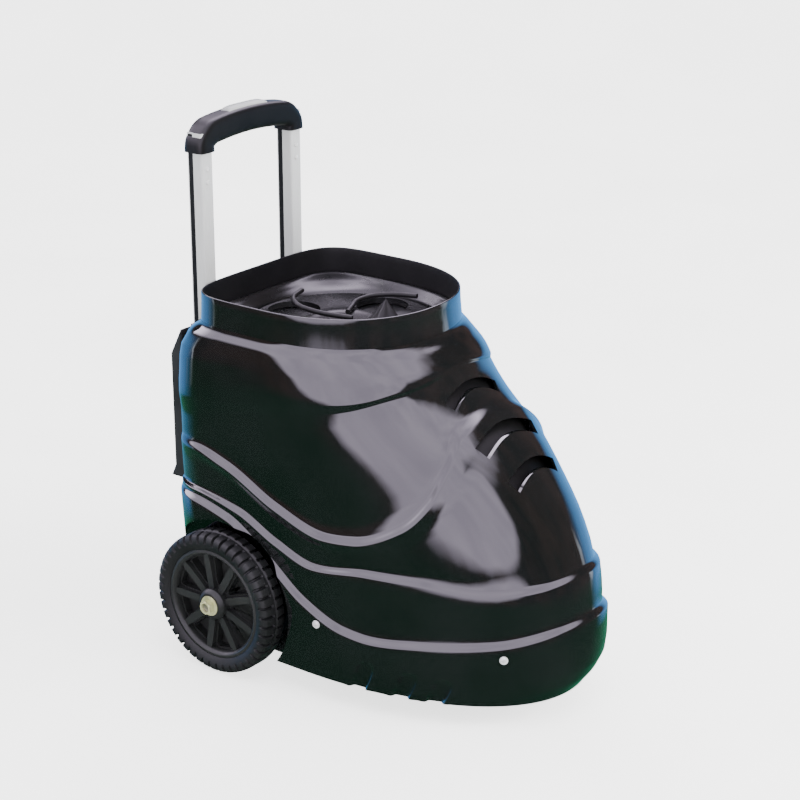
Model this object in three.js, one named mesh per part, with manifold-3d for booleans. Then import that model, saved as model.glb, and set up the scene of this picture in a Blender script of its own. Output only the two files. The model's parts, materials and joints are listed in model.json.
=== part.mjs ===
// Tennis ball machine on two wheels, with a pull-out trolley handle.
// Millimetres, +Z up. The rounded, vented nose faces -Y. The flat side with the ball outlet, the
// trolley handle and the wheels faces +Y. The origin is on the ground, at the middle of the outline.
import * as THREE from 'three';
import { mergeVertices } from 'three/addons/utils/BufferGeometryUtils.js';
import Module from 'manifold-3d';

const wasm = await Module();
wasm.setup();

// ---- driving dimensions ----
const GAP = 0.3;                  // air between pieces that touch
const RIM_Z = 515;                // top edge of the hopper collar
const COLLAR_Z = 476;             // seam between the shell and the collar
const SKIRT_Z = 32;               // bottom edge of the shell
const WALL = 5;                   // moulded shell wall, measured level
const COLLAR_WALL = 2.5;
const SHELL_COLUMNS = 56;         // facets round the shell

const AXLE_Y = 166;
const AXLE_Z = 100;               // 200 mm (8 inch) wheels
const AXLE_R = 6;
const AXLE_HALF = 212;
const TYRE_R = 100;
const TYRE_INNER_R = 78;
const WHEEL_X = 184;              // middle of each wheel
const TYRE_HALF = 21;
const HUB_R = 22;
const SPOKES = 9;
const WELL_R = 113;               // wheel arch
const WELL_X = 152;               // inner wall of the wheel arch

const TUBE_X = 91;                // trolley tubes, either side of the ball outlet
const TUBE_Y = 262;
const TUBE_W = 22;
const TUBE_D = 26;
const TUBE_WALL = 1.6;
const TUBE_TOP = 716;
const TUBE_BOTTOM = 250;
const SLEEVE_BOTTOM = 52;
const SLEEVE_TOP = 452;
const GRIP_BOTTOM = 690;
const GRIP_UNDER = 706;
const GRIP_TOP = 735;
const GRIP_HALF = 106;

const OUTLET_HALF = 64;
const OUTLET_LOW = 283;
const OUTLET_HIGH = 403;
const HOUSING_Y = 300;            // rear face of the outlet housing
const HOUSING_HALF = 122;
const REAR_OPENING_HALF = 111;

const FEED_Y = 95;                // middle of the hopper and its turntable
const FEED_Z = 455;               // bowl floor
const POCKET_R = 36;              // a tennis ball is 67 mm across
const POCKET_RING = 86;
const TURNTABLE_R = 128;
const DROP_Y = FEED_Y - POCKET_RING;

const LAUNCH_Y = 170;             // launch wheels' axes and the pitch axis
const LAUNCH_Z = 343;             // height of the ball's path
const LAUNCH_R = 45;
const LAUNCH_X = 74;              // leaves a 58 mm nip between the launch wheels

const TRAY_Z = 40;                // underside of the base tray's floor
const TRAY_FLOOR = 6;
const DECK_Z = 130;               // mechanism deck, above the axle
const DECK_T = 4;
const FOOT_X = 56;                // front feet, set well back under the skirt
const FOOT_Y = -122;

// ---- materials ----
function finish(color, roughness, metalness) {
  return new THREE.MeshStandardMaterial({ color, roughness, metalness });
}
const glossBlack = finish(0x0a0d0c, 0.12, 0);
const mattBlack = finish(0x151515, 0.6, 0);
const darkGrey = finish(0x2c2e30, 0.55, 0);
const rubberBlack = finish(0x121212, 0.85, 0);
const aluminium = finish(0xc4c6c8, 0.35, 1);
const zinc = finish(0xc9b878, 0.35, 1);
const steel = finish(0xb4b6b8, 0.3, 1);
const buttonGrey = finish(0x8e9091, 0.5, 0);
const redPlastic = finish(0x9c1c1c, 0.4, 0);
const lensBlue = finish(0x1d3a44, 0.1, 0);
const boardGreen = finish(0x1d5a34, 0.6, 0);

// The outline's middle, along Y, is brought onto the origin.
const ORIGIN_SHIFT = 3.5;
const group = new THREE.Group();
group.position.y = ORIGIN_SHIFT;

function add(name, geometry, material) {
  const mesh = new THREE.Mesh(geometry, material);
  mesh.name = name;
  group.add(mesh);
  return mesh;
}

// ---- solids: joining and cutting ----
function solid(geometry) {
  const bare = geometry.clone();
  bare.deleteAttribute('normal');
  bare.deleteAttribute('uv');
  const merged = mergeVertices(bare, 1e-4);
  return new wasm.Manifold(new wasm.Mesh({
    numProp: 3,
    vertProperties: merged.attributes.position.array,
    triVerts: new Uint32Array(merged.index.array),
  }));
}

function geometryOf(manifold) {
  const result = manifold.getMesh();
  const geometry = new THREE.BufferGeometry();
  geometry.setAttribute('position', new THREE.BufferAttribute(result.vertProperties, 3));
  geometry.setIndex(new THREE.BufferAttribute(result.triVerts, 1));
  return geometry;
}

function cut(geometry, ...cutters) {
  const rest = cutters.reduce((body, cutter) => body.subtract(solid(cutter)), solid(geometry));
  return geometryOf(rest);
}

function join(...geometries) {
  return geometryOf(geometries.map(solid).reduce((body, other) => body.add(other)));
}

// ---- simple shapes, placed by their limits ----
function block(x0, x1, y0, y1, z0, z1) {
  const geometry = new THREE.BoxGeometry(x1 - x0, y1 - y0, z1 - z0);
  return geometry.translate((x0 + x1) / 2, (y0 + y1) / 2, (z0 + z1) / 2);
}

// A round bar along X, Y or Z, centred at (x, y, z).
function bar(axis, radius, length, x, y, z, sides = 20) {
  const geometry = new THREE.CylinderGeometry(radius, radius, length, sides);
  if (axis === 'x') geometry.rotateZ(Math.PI / 2);
  if (axis === 'z') geometry.rotateX(Math.PI / 2);
  return geometry.translate(x, y, z);
}

// A profile of [radius, height] points turned about an upright axis, closed on itself.
function turned(profile, x, y, z, sides = 32) {
  const points = [...profile, profile[0]].map(([r, h]) => new THREE.Vector2(r, h));
  return new THREE.LatheGeometry(points, sides).rotateX(Math.PI / 2).translate(x, y, z);
}

function outline(points) {
  return new THREE.Shape(points.map(([x, y]) => new THREE.Vector2(x, y)));
}

// An outline of [x, z] points carried along Y.
function alongY(shape, y0, y1, curveSegments = 8) {
  const geometry = new THREE.ExtrudeGeometry(shape, { depth: y1 - y0, bevelEnabled: false, curveSegments });
  return geometry.rotateX(Math.PI / 2).translate(0, y1, 0);
}

// An outline of [y, z] points carried along X.
function alongX(shape, x0, x1) {
  const geometry = new THREE.ExtrudeGeometry(shape, { depth: x1 - x0, bevelEnabled: false });
  return geometry.rotateX(Math.PI / 2).rotateZ(Math.PI / 2).translate(x0, 0, 0);
}

// A smooth curve through [position, value] points that never overshoots them.
function smooth(points) {
  const slopes = points.map((point, i) => {
    if (i === 0 || i === points.length - 1) return 0;
    const before = (point[1] - points[i - 1][1]) / (point[0] - points[i - 1][0]);
    const after = (points[i + 1][1] - point[1]) / (points[i + 1][0] - point[0]);
    return before * after > 0 ? (2 * before * after) / (before + after) : 0;
  });
  return (position) => {
    const u = THREE.MathUtils.clamp(position, points[0][0], points[points.length - 1][0]);
    const i = Math.max(1, points.findIndex((point) => point[0] >= u));
    const [a, b] = [points[i - 1], points[i]];
    const span = b[0] - a[0];
    const s = (u - a[0]) / span;
    const start = a[1] * (1 + 2 * s) * (1 - s) ** 2 + slopes[i - 1] * span * s * (1 - s) ** 2;
    return start + b[1] * s * s * (3 - 2 * s) + slopes[i] * span * s * s * (s - 1);
  };
}

// ---- the moulded body's surface ----
// At each height the plan is two half superellipses: a blunt one towards the rear, with a flat back
// and tight corners, and a long round one towards the nose. Each value is set by height.
const halfWidth = smooth([[20, 156], [100, 157], [200, 159], [300, 161], [390, 163], [420, 164],
  [440, 163.5], [460, 159], [476, 153], [516, 152]]);
const widestY = smooth([[20, 30], [150, 48], [250, 62], [350, 80], [420, 100], [476, 112], [516, 115]]);
const noseY = smooth([[20, -262], [60, -285], [90, -296], [150, -296], [200, -290], [250, -270],
  [300, -236], [350, -193], [390, -143], [420, -114], [440, -101], [460, -80], [476, -63], [516, -60]]);
const rearY = smooth([[20, 270], [150, 275], [250, 276], [420, 275], [445, 271], [460, 262], [476, 248], [516, 247]]);
const rearPower = smooth([[20, 8], [300, 8], [420, 7], [460, 5.8], [476, 5.1], [516, 5]]);
const nosePower = smooth([[20, 2.1], [250, 2.1], [350, 2.15], [476, 2.25], [516, 2.25]]);

// The moulded lines' heights, by share of the way round from mid-rear (0) to mid-nose (1).
const bandTop = smooth([[0, 372], [0.24, 374], [0.39, 384], [0.56, 402], [0.7, 412], [0.83, 429], [1, 446]]);
const bandFoot = smooth([[0, 340], [0.22, 342], [0.37, 362], [0.55, 384], [0.7, 402], [0.83, 421], [1, 440]]);
const swoop = smooth([[0, 316], [0.26, 312], [0.34, 297], [0.44, 258], [0.54, 235], [0.6, 239], [0.7, 269],
  [0.77, 306], [0.83, 348], [0.9, 386], [1, 398]]);
const upperLedge = smooth([[0, 250], [0.24, 247], [0.35, 236], [0.43, 207], [0.51, 188], [0.62, 198],
  [0.71, 200], [0.81, 194], [0.91, 202], [1, 210]]);
const lowerLedge = smooth([[0, 242], [0.24, 240], [0.33, 226], [0.41, 186], [0.49, 138], [0.57, 112],
  [0.62, 108], [0.71, 115], [0.84, 128], [1, 152]]);
const SWOOP = { drop: 12, out: 4 };
const UPPER = { drop: 9, out: 7 };
const LOWER = { drop: 9, out: 8 };
const SHOULDER_LIP = 3;

function ease(u) {
  const s = THREE.MathUtils.clamp(u, 0, 1);
  return s * s * (3 - 2 * s);
}

function upperDrop(t) {
  return THREE.MathUtils.lerp(3, UPPER.drop, ease((t - 0.26) / 0.12));
}

// How far the moulded lines push the wall out from its smooth base at share t and height z.
// They fade out across the flat back, which the outlet housing covers.
function relief(t, z) {
  const lip = ease((bandTop(t) + 45 - z) / 45) * (1 - ease((bandTop(t) - z) / (bandTop(t) - bandFoot(t))));
  const side = ease((swoop(t) - z) / SWOOP.drop) * SWOOP.out;
  const upper = ease((upperLedge(t) - z) / upperDrop(t)) * UPPER.out;
  const lower = ease((lowerLedge(t) - z) / LOWER.drop) * LOWER.out;
  return (lip * SHOULDER_LIP + side + upper + lower) * ease((t - 0.16) / 0.1);
}

// The base plan at height z, as points at even angles from mid-rear to mid-nose, on the -X side.
function planCurve(z) {
  const steps = 240;
  const points = [];
  for (let i = 0; i <= steps; i += 1) {
    const angle = Math.PI * (0.5 - i / steps);
    const power = 2 / (angle >= 0 ? rearPower(z) : nosePower(z));
    const reach = angle >= 0 ? rearY(z) - widestY(z) : noseY(z) - widestY(z);
    const x = -halfWidth(z) * Math.abs(Math.cos(angle)) ** power;
    points.push(new THREE.Vector2(x, widestY(z) + reach * Math.abs(Math.sin(angle)) ** power));
  }
  return points;
}

function pointAlong(points, share) {
  const lengths = [0];
  for (let i = 1; i < points.length; i += 1) {
    lengths.push(lengths[i - 1] + points[i].distanceTo(points[i - 1]));
  }
  const goal = share * lengths[lengths.length - 1];
  const i = Math.max(1, lengths.findIndex((length) => length >= goal - 1e-9));
  const part = (goal - lengths[i - 1]) / (lengths[i] - lengths[i - 1]);
  const place = points[i - 1].clone().lerp(points[i], part);
  const along = points[i].clone().sub(points[i - 1]).normalize();
  return { place, out: new THREE.Vector2(along.y, -along.x) };
}

// A point of the body's surface at share t (1 to 2 is the +X side) and height z, moved out by extra.
function bodyPoint(t, z, extra = 0) {
  const share = t > 1 ? 2 - t : t;
  const { place, out } = pointAlong(planCurve(z), share);
  const push = relief(share, z) + extra;
  const edge = share < 1e-9 || share > 1 - 1e-9;
  const x = edge ? 0 : place.x + out.x * push;
  return new THREE.Vector3(t > 1 ? -x : x, place.y + out.y * push, z);
}

// A closed solid through rings of points, from the lowest ring to the highest, with flat caps.
function loft(rings) {
  const columns = rings[0].length;
  const positions = rings.flat().flatMap((point) => [point.x, point.y, point.z]);
  const index = [];
  for (let row = 0; row < rings.length - 1; row += 1) {
    for (let column = 0; column < columns; column += 1) {
      const a = row * columns + column;
      const b = row * columns + ((column + 1) % columns);
      index.push(a, b, a + columns, b, b + columns, a + columns);
    }
  }
  [0, rings.length - 1].forEach((row) => {
    const centre = rings[row].reduce((sum, point) => sum.add(point), new THREE.Vector3());
    positions.push(...centre.divideScalar(columns).toArray());
    const middle = positions.length / 3 - 1;
    for (let column = 0; column < columns; column += 1) {
      const a = row * columns + column;
      const b = row * columns + ((column + 1) % columns);
      index.push(...(row === 0 ? [b, a, middle] : [a, b, middle]));
    }
  });
  const geometry = new THREE.BufferGeometry();
  geometry.setAttribute('position', new THREE.Float32BufferAttribute(positions, 3));
  geometry.setIndex(index);
  return geometry;
}

function ringAt(heightOf, columns, extra = 0) {
  const ring = [];
  for (let i = 0; i < columns; i += 1) {
    const t = (2 * i) / columns;
    ring.push(bodyPoint(t, heightOf(t > 1 ? 2 - t : t), extra));
  }
  return ring;
}

const between = (low, high, part) => (t) => THREE.MathUtils.lerp(low(t), high(t), part);
const level = (z) => () => z;
const below = (line, drop) => (t) => line(t) - drop;

// ---- body shell ----
const swoopFoot = below(swoop, SWOOP.drop);
const shellHeights = [
  level(SKIRT_Z), level(70), below(lowerLedge, LOWER.drop), lowerLedge,
  (t) => upperLedge(t) - upperDrop(t), upperLedge,
  between(upperLedge, swoopFoot, 0.33), between(upperLedge, swoopFoot, 0.66), swoopFoot, swoop,
  between(swoop, bandFoot, 0.5), bandFoot, bandTop, level(457), level(467), level(COLLAR_Z),
];

function bodySolid(extra, heights) {
  return loft(heights.map((heightOf) => ringAt(heightOf, SHELL_COLUMNS, extra)));
}

function wheelWell(side, radius, innerX) {
  return bar('x', radius, 100, side * (innerX + 50), AXLE_Y, AXLE_Z, 40);
}

const innerHeights = [level(0), ...shellHeights, level(COLLAR_Z + 20)];

// A crescent louvre through the nose: an arched slot that drops towards its ends.
function louvre(z, halfSpan, height) {
  const shape = new THREE.Shape();
  const sag = 16;
  shape.moveTo(-halfSpan, z - sag);
  shape.quadraticCurveTo(0, z + sag, halfSpan, z - sag);
  shape.lineTo(halfSpan - 8, z - sag - height);
  shape.quadraticCurveTo(0, z + sag - height, -halfSpan + 8, z - sag - height);
  shape.closePath();
  return alongY(shape, -360, widestY(z) - 120, 6);
}

const louvres = [[424, 56, 11], [378, 64, 13], [338, 52, 13]].map((row) => louvre(...row));
const liftSlot = louvre(190, 28, 10);

const screwPlaces = [[0.52, 108], [0.85, 106], [1.15, 106], [1.48, 108]].map(([t, z]) => {
  const inner = bodyPoint(t, z, -1);
  const outer = bodyPoint(t, z, 1);
  return { outer: bodyPoint(t, z), out: outer.sub(inner).normalize() };
});

function alongDirection(geometry, place) {
  geometry.applyQuaternion(new THREE.Quaternion().setFromUnitVectors(new THREE.Vector3(0, 1, 0), place.out));
  return geometry.translate(...place.outer.toArray());
}

const screwHoles = screwPlaces.map((place) => alongDirection(new THREE.CylinderGeometry(3, 3, 60, 8), place));
const axleHole = bar('x', 9, 400, 0, AXLE_Y, AXLE_Z);
const rearOpening = block(-REAR_OPENING_HALF, REAR_OPENING_HALF, 236, 330, 0, 445);
const tubeNotches = [-1, 1].map((side) => {
  const x = side * TUBE_X;
  return block(x - 15, x + 15, 247.3, 330, 400, 520);
});

const shellOutside = cut(bodySolid(0, shellHeights), wheelWell(-1, WELL_R, WELL_X), wheelWell(1, WELL_R, WELL_X));
const shellInside = cut(
  bodySolid(-WALL, innerHeights),
  wheelWell(-1, WELL_R + 4, WELL_X - 4),
  wheelWell(1, WELL_R + 4, WELL_X - 4),
);
add('body_shell', cut(shellOutside, shellInside, rearOpening, ...tubeNotches, ...louvres, liftSlot,
  ...screwHoles, axleHole), glossBlack);

// ---- hopper: collar, bowl and ball feed ----
function plainRing(z, extra, columns) {
  const ring = [];
  for (let i = 0; i < columns; i += 1) {
    const t = (2 * i) / columns;
    const share = t > 1 ? 2 - t : t;
    const { place, out } = pointAlong(planCurve(z), share);
    const x = share === 0 || share === 1 ? 0 : place.x + out.x * extra;
    ring.push(new THREE.Vector3(t > 1 ? -x : x, place.y + out.y * extra, z));
  }
  return ring;
}

const collarLow = COLLAR_Z + GAP;
add('hopper_collar', cut(
  loft([plainRing(collarLow, 0, 56), plainRing(RIM_Z, 0, 56)]),
  loft([plainRing(collarLow - 5, -COLLAR_WALL, 56), plainRing(RIM_Z + 1, -COLLAR_WALL, 56)]),
), glossBlack);

// The bowl runs from the collar's outline down to a round floor.
function bowlRing(z, part, extra) {
  const columns = 36;
  const rim = plainRing(COLLAR_Z, extra - WALL - 1, columns);
  return rim.map((point) => {
    const dx = point.x;
    const dy = point.y - FEED_Y;
    const scale = (TURNTABLE_R + 8 + extra) / Math.hypot(dx, dy);
    const round = new THREE.Vector3(dx * scale, FEED_Y + dy * scale, z);
    return new THREE.Vector3(point.x, point.y, z).lerp(round, part);
  });
}

const BOWL_WALL = 3;
const bowlOutside = loft([
  bowlRing(FEED_Z - BOWL_WALL, 1, 0), bowlRing(FEED_Z + 9, 0.9, 0), bowlRing(FEED_Z + 18, 0.4, 0), bowlRing(480, 0, 0),
]);
const bowlInside = loft([
  bowlRing(FEED_Z, 1, -BOWL_WALL), bowlRing(FEED_Z + 9, 0.9, -BOWL_WALL), bowlRing(FEED_Z + 18, 0.4, -BOWL_WALL),
  bowlRing(481, 0, -BOWL_WALL),
]);
const dropHole = bar('z', POCKET_R, 40, 0, DROP_Y, FEED_Z, 24);
const shaftHole = bar('z', 5.6, 40, 0, FEED_Y, FEED_Z, 16);
add('hopper_bowl', cut(bowlOutside, bowlInside, dropHole, shaftHole), glossBlack);

const turntableZ = FEED_Z + 2;
const TURNTABLE_T = 8;
const pockets = [0, 1, 2, 3].map((i) => {
  const angle = (i * Math.PI) / 2;
  const x = POCKET_RING * Math.cos(angle);
  return bar('z', POCKET_R, 40, x, FEED_Y + POCKET_RING * Math.sin(angle), turntableZ, 20);
});
add('feed_turntable', cut(bar('z', TURNTABLE_R, TURNTABLE_T, 0, FEED_Y, turntableZ + TURNTABLE_T / 2, 48),
  ...pockets), mattBlack);
const discTop = turntableZ + TURNTABLE_T;
const cone = [[0, 0], [22, 0], [20, 5], [2, 28], [0, 30]];
add('deflector_cone', turned(cone, 38, 52, discTop + GAP, 12), mattBlack);

// Two bent rods stand on the turntable and stir the balls as it turns. Heights are above the disc.
function stirrer(points) {
  const path = new THREE.CatmullRomCurve3(points.map(([x, y, z]) => new THREE.Vector3(x, y, discTop + z)));
  const section = new THREE.Shape().absarc(0, 0, 3.5, 0, 2 * Math.PI);
  return new THREE.ExtrudeGeometry(section, { extrudePath: path, steps: 16, curveSegments: 3, bevelEnabled: false });
}
add('stirrer_rod_a', stirrer([
  [27, 189, 19], [-4, 179, 17], [-20, 154, 14], [-14, 126, 9], [0, 100, 5], [6, 84, 4.4],
]), rubberBlack);
add('stirrer_rod_b', stirrer([
  [22, 105, 4.4], [42, 114, 5], [64, 122, 7], [86, 114, 10], [98, 93, 13], [104, 69, 15], [107, 51, 16],
]), rubberBlack);
add('feed_motor', join(
  bar('z', 22, 32, 0, FEED_Y, FEED_Z - BOWL_WALL - GAP - 16, 20),
  bar('z', 5, 10, 0, FEED_Y, turntableZ - GAP - 5, 16),
), steel);

const DROP_LENGTH = 80;
add('drop_tube', cut(
  bar('z', POCKET_R + 3, DROP_LENGTH, 0, DROP_Y, FEED_Z - BOWL_WALL - GAP - DROP_LENGTH / 2, 24),
  bar('z', POCKET_R, DROP_LENGTH + 10, 0, DROP_Y, FEED_Z - BOWL_WALL - GAP - DROP_LENGTH / 2, 24),
), mattBlack);
const TROUGH_HALF = 39;
const TROUGH_LOW = LAUNCH_Z - 38;
const troughShape = outline([
  [-TROUGH_HALF, TROUGH_LOW], [TROUGH_HALF, TROUGH_LOW], [TROUGH_HALF, TROUGH_LOW + 62],
  [TROUGH_HALF - 3, TROUGH_LOW + 62], [TROUGH_HALF - 3, TROUGH_LOW + 3], [3 - TROUGH_HALF, TROUGH_LOW + 3],
  [3 - TROUGH_HALF, TROUGH_LOW + 62], [-TROUGH_HALF, TROUGH_LOW + 62],
]);
add('feed_trough', join(
  alongY(troughShape, DROP_Y - 38, LAUNCH_Y - 52),
  block(-TROUGH_HALF, TROUGH_HALF, DROP_Y - 41, DROP_Y - 37.9, TROUGH_LOW, TROUGH_LOW + 62),
), darkGrey);

// ---- base tray, deck and battery ----
// The tray follows the inside of the shell up to its top edge.
const TRAY_TOP = 116;
function trayFilling(extra, wellGap, rear, low, high) {
  return cut(
    bodySolid(extra, innerHeights),
    wheelWell(-1, WELL_R + wellGap, WELL_X - wellGap),
    wheelWell(1, WELL_R + wellGap, WELL_X - wellGap),
    block(-300, 300, rear, 400, -50, 600),
    block(-300, 300, -400, 400, -50, low),
    block(-300, 300, -400, 400, high, 600),
  );
}
const TRAY_GAP = 0.6;
const TRAY_WALL = 3.5;
add('base_tray', cut(
  trayFilling(-WALL - TRAY_GAP, 5, 244, TRAY_Z, TRAY_TOP),
  trayFilling(-WALL - TRAY_GAP - TRAY_WALL, 9, 240, TRAY_Z + TRAY_FLOOR, TRAY_TOP + 10),
  ...screwHoles, axleHole,
), mattBlack);

const trayTop = TRAY_Z + TRAY_FLOOR + GAP;
[-1, 1].forEach((side) => {
  const name = side < 0 ? 'left' : 'right';
  const inner = Math.min(side * 112, side * 134);
  add(`axle_bracket_${name}`, cut(
    block(inner, inner + 22, AXLE_Y - 30, AXLE_Y + 30, trayTop, DECK_Z - GAP),
    bar('x', AXLE_R + 0.5, 100, side * 123, AXLE_Y, AXLE_Z),
  ), steel);
  const foot = [[0, 0], [20, 0], [17, TRAY_Z - GAP], [0, TRAY_Z - GAP]];
  add(`front_foot_${name}`, turned(foot, side * FOOT_X, FOOT_Y, 0, 20), rubberBlack);
});

const deckShape = outline([
  [48, trayTop], [52, trayTop], [52, DECK_Z], [236, DECK_Z], [236, DECK_Z + DECK_T], [48, DECK_Z + DECK_T],
]);
add('mechanism_deck', alongX(deckShape, -136, 136), steel);
add('battery', block(-75, 75, -190, -50, trayTop, trayTop + 92), darkGrey);
add('control_board', block(-60, 60, -20, 40, trayTop + 8, trayTop + 10), boardGreen);
const standoffs = [[-50, -12], [50, -12], [-50, 32], [50, 32]];
add('board_carrier', join(
  block(-58, 58, -18, 38, trayTop, trayTop + 3),
  ...standoffs.map(([x, y]) => bar('z', 4, 6, x, y, trayTop + 4.7, 8)),
), darkGrey);

// ---- launcher: yaw fork, pitch cradle, two launch wheels ----
const forkZ = DECK_Z + DECK_T + GAP;
add('yaw_motor', bar('z', 42, 18, 0, LAUNCH_Y, forkZ + 9, 28), darkGrey);
const forkBase = forkZ + 18 + GAP;
const FORK_HALF = 130;
const forkShape = outline([
  [-FORK_HALF, forkBase], [FORK_HALF, forkBase], [FORK_HALF, LAUNCH_Z + 18], [FORK_HALF - 5, LAUNCH_Z + 18],
  [FORK_HALF - 5, forkBase + 6], [5 - FORK_HALF, forkBase + 6], [5 - FORK_HALF, LAUNCH_Z + 18],
  [-FORK_HALF, LAUNCH_Z + 18],
]);
add('yaw_fork', cut(
  alongY(forkShape, LAUNCH_Y - 20, LAUNCH_Y + 20),
  bar('x', 7.5, 400, 0, LAUNCH_Y, LAUNCH_Z, 24),
), steel);

const cradleFloor = LAUNCH_Z - 28;
const CRADLE_HALF = 124;
const cradleShape = outline([
  [-CRADLE_HALF, cradleFloor - 4], [CRADLE_HALF, cradleFloor - 4], [CRADLE_HALF, LAUNCH_Z + 14],
  [CRADLE_HALF - 3, LAUNCH_Z + 14], [CRADLE_HALF - 3, cradleFloor], [3 - CRADLE_HALF, cradleFloor],
  [3 - CRADLE_HALF, LAUNCH_Z + 14], [-CRADLE_HALF, LAUNCH_Z + 14],
]);
const sides = [-1, 1];
add('launch_cradle', cut(join(
  alongY(cradleShape, LAUNCH_Y - 30, LAUNCH_Y + 36),
  ...sides.map((side) => bar('x', 7, 8, side * (CRADLE_HALF + 2), LAUNCH_Y, LAUNCH_Z, 20)),
), ...sides.map((side) => bar('z', 7, 40, side * LAUNCH_X, LAUNCH_Y, cradleFloor, 16))), aluminium);
sides.forEach((side) => {
  const name = side < 0 ? 'left' : 'right';
  const x = side * LAUNCH_X;
  add(`launch_motor_${name}`, bar('z', 26, 58, x, LAUNCH_Y, cradleFloor - 4 - GAP - 29, 24), steel);
  add(`launch_shaft_${name}`, bar('z', 5, 64, x, LAUNCH_Y, cradleFloor - 4 + 32, 12), steel);
  const tread = [[5.5, -18], [38, -18], [LAUNCH_R, -16], [41, 0], [LAUNCH_R, 16], [38, 18], [5.5, 18]];
  add(`launch_wheel_${name}`, turned(tread, x, LAUNCH_Y, LAUNCH_Z + 2, 24), rubberBlack);
});

// ---- rear: outlet housing, control panel ----
const housingShape = outline([
  [279, 229], [308, 229], [HOUSING_Y, 246], [HOUSING_Y, 410], [281, 447], [279, 447],
]);
const housingHollow = outline([
  [270, 233], [HOUSING_Y - 4, 233], [HOUSING_Y - 4, 408], [277, 443], [270, 443],
]);
add('outlet_housing', cut(
  alongX(housingShape, -HOUSING_HALF, HOUSING_HALF),
  alongX(housingHollow, 4 - HOUSING_HALF, HOUSING_HALF - 4),
  block(-OUTLET_HALF, OUTLET_HALF, 280, 320, OUTLET_LOW, OUTLET_HIGH),
), mattBlack);
add('outlet_frame', cut(
  block(-OUTLET_HALF - 9, OUTLET_HALF + 9, HOUSING_Y + GAP, HOUSING_Y + 5, OUTLET_LOW - 9, OUTLET_HIGH + 9),
  block(-OUTLET_HALF, OUTLET_HALF, 280, 320, OUTLET_LOW, OUTLET_HIGH),
), darkGrey);

const PANEL_Y = 284;
add('rear_panel', cut(
  block(-REAR_OPENING_HALF - 8, REAR_OPENING_HALF + 8, PANEL_Y - 4, PANEL_Y, 60, 228),
  block(-62, 62, 270, 300, 94, 206),
), mattBlack);
const CONTROL_Y = PANEL_Y + 2;
const controls = {
  lens: [-50, 10, 160, 198],
  rocker: [24, 50, 168, 196],
  buttons: [-40, -14, 12],
  buttonZ: 138,
  knob: [38, 140],
  socket: [-34, 108],
};
function window(x0, x1, z0, z1) {
  return block(x0 - GAP, x1 + GAP, 270, 300, z0 - GAP, z1 + GAP);
}
add('control_plate', cut(
  block(-61.6, 61.6, CONTROL_Y - 3, CONTROL_Y, 94.4, 205.6),
  window(...controls.lens),
  window(...controls.rocker),
  ...controls.buttons.map((x) => bar('y', 9.4, 20, x, CONTROL_Y, controls.buttonZ, 14)),
  bar('y', 5.4, 20, controls.knob[0], CONTROL_Y, controls.knob[1], 12),
  bar('y', 11.3, 20, controls.socket[0], CONTROL_Y, controls.socket[1], 14),
), darkGrey);
const [lensLeft, lensRight, lensLow, lensHigh] = controls.lens;
add('display_lens', block(lensLeft, lensRight, CONTROL_Y - 6, CONTROL_Y + 0.5, lensLow, lensHigh), lensBlue);
const [rockLeft, rockRight, rockLow, rockHigh] = controls.rocker;
const rockZ = (rockLow + rockHigh) / 2;
const rockerShape = outline([
  [CONTROL_Y - 6, rockLow + 2], [CONTROL_Y + 1, rockLow + 2], [CONTROL_Y + 2, rockZ], [CONTROL_Y + 5, rockHigh - 2],
  [CONTROL_Y - 6, rockHigh - 2],
]);
add('power_rocker', alongX(rockerShape, rockLeft + 1, rockRight - 1), redPlastic);
['speed', 'feed', 'angle'].forEach((name, i) => {
  add(`${name}_button`, bar('y', 9, 12, controls.buttons[i], CONTROL_Y - 2, controls.buttonZ, 14), buttonGrey);
});
add('timing_knob', join(
  bar('y', 13, 12, controls.knob[0], CONTROL_Y + 6.4, controls.knob[1], 24),
  bar('y', 5, 14, controls.knob[0], CONTROL_Y - 2, controls.knob[1], 16),
  block(controls.knob[0] - 1, controls.knob[0] + 1, CONTROL_Y + 6, CONTROL_Y + 13, controls.knob[1], controls.knob[1] + 12),
), buttonGrey);
add('charge_socket', cut(
  join(
    bar('y', 11, 14, controls.socket[0], CONTROL_Y - 5, controls.socket[1], 14),
    bar('y', 13, 1.6, controls.socket[0], CONTROL_Y + 1.2, controls.socket[1], 20),
  ),
  bar('y', 7, 14, controls.socket[0], CONTROL_Y + 2, controls.socket[1], 16),
), mattBlack);

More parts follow.
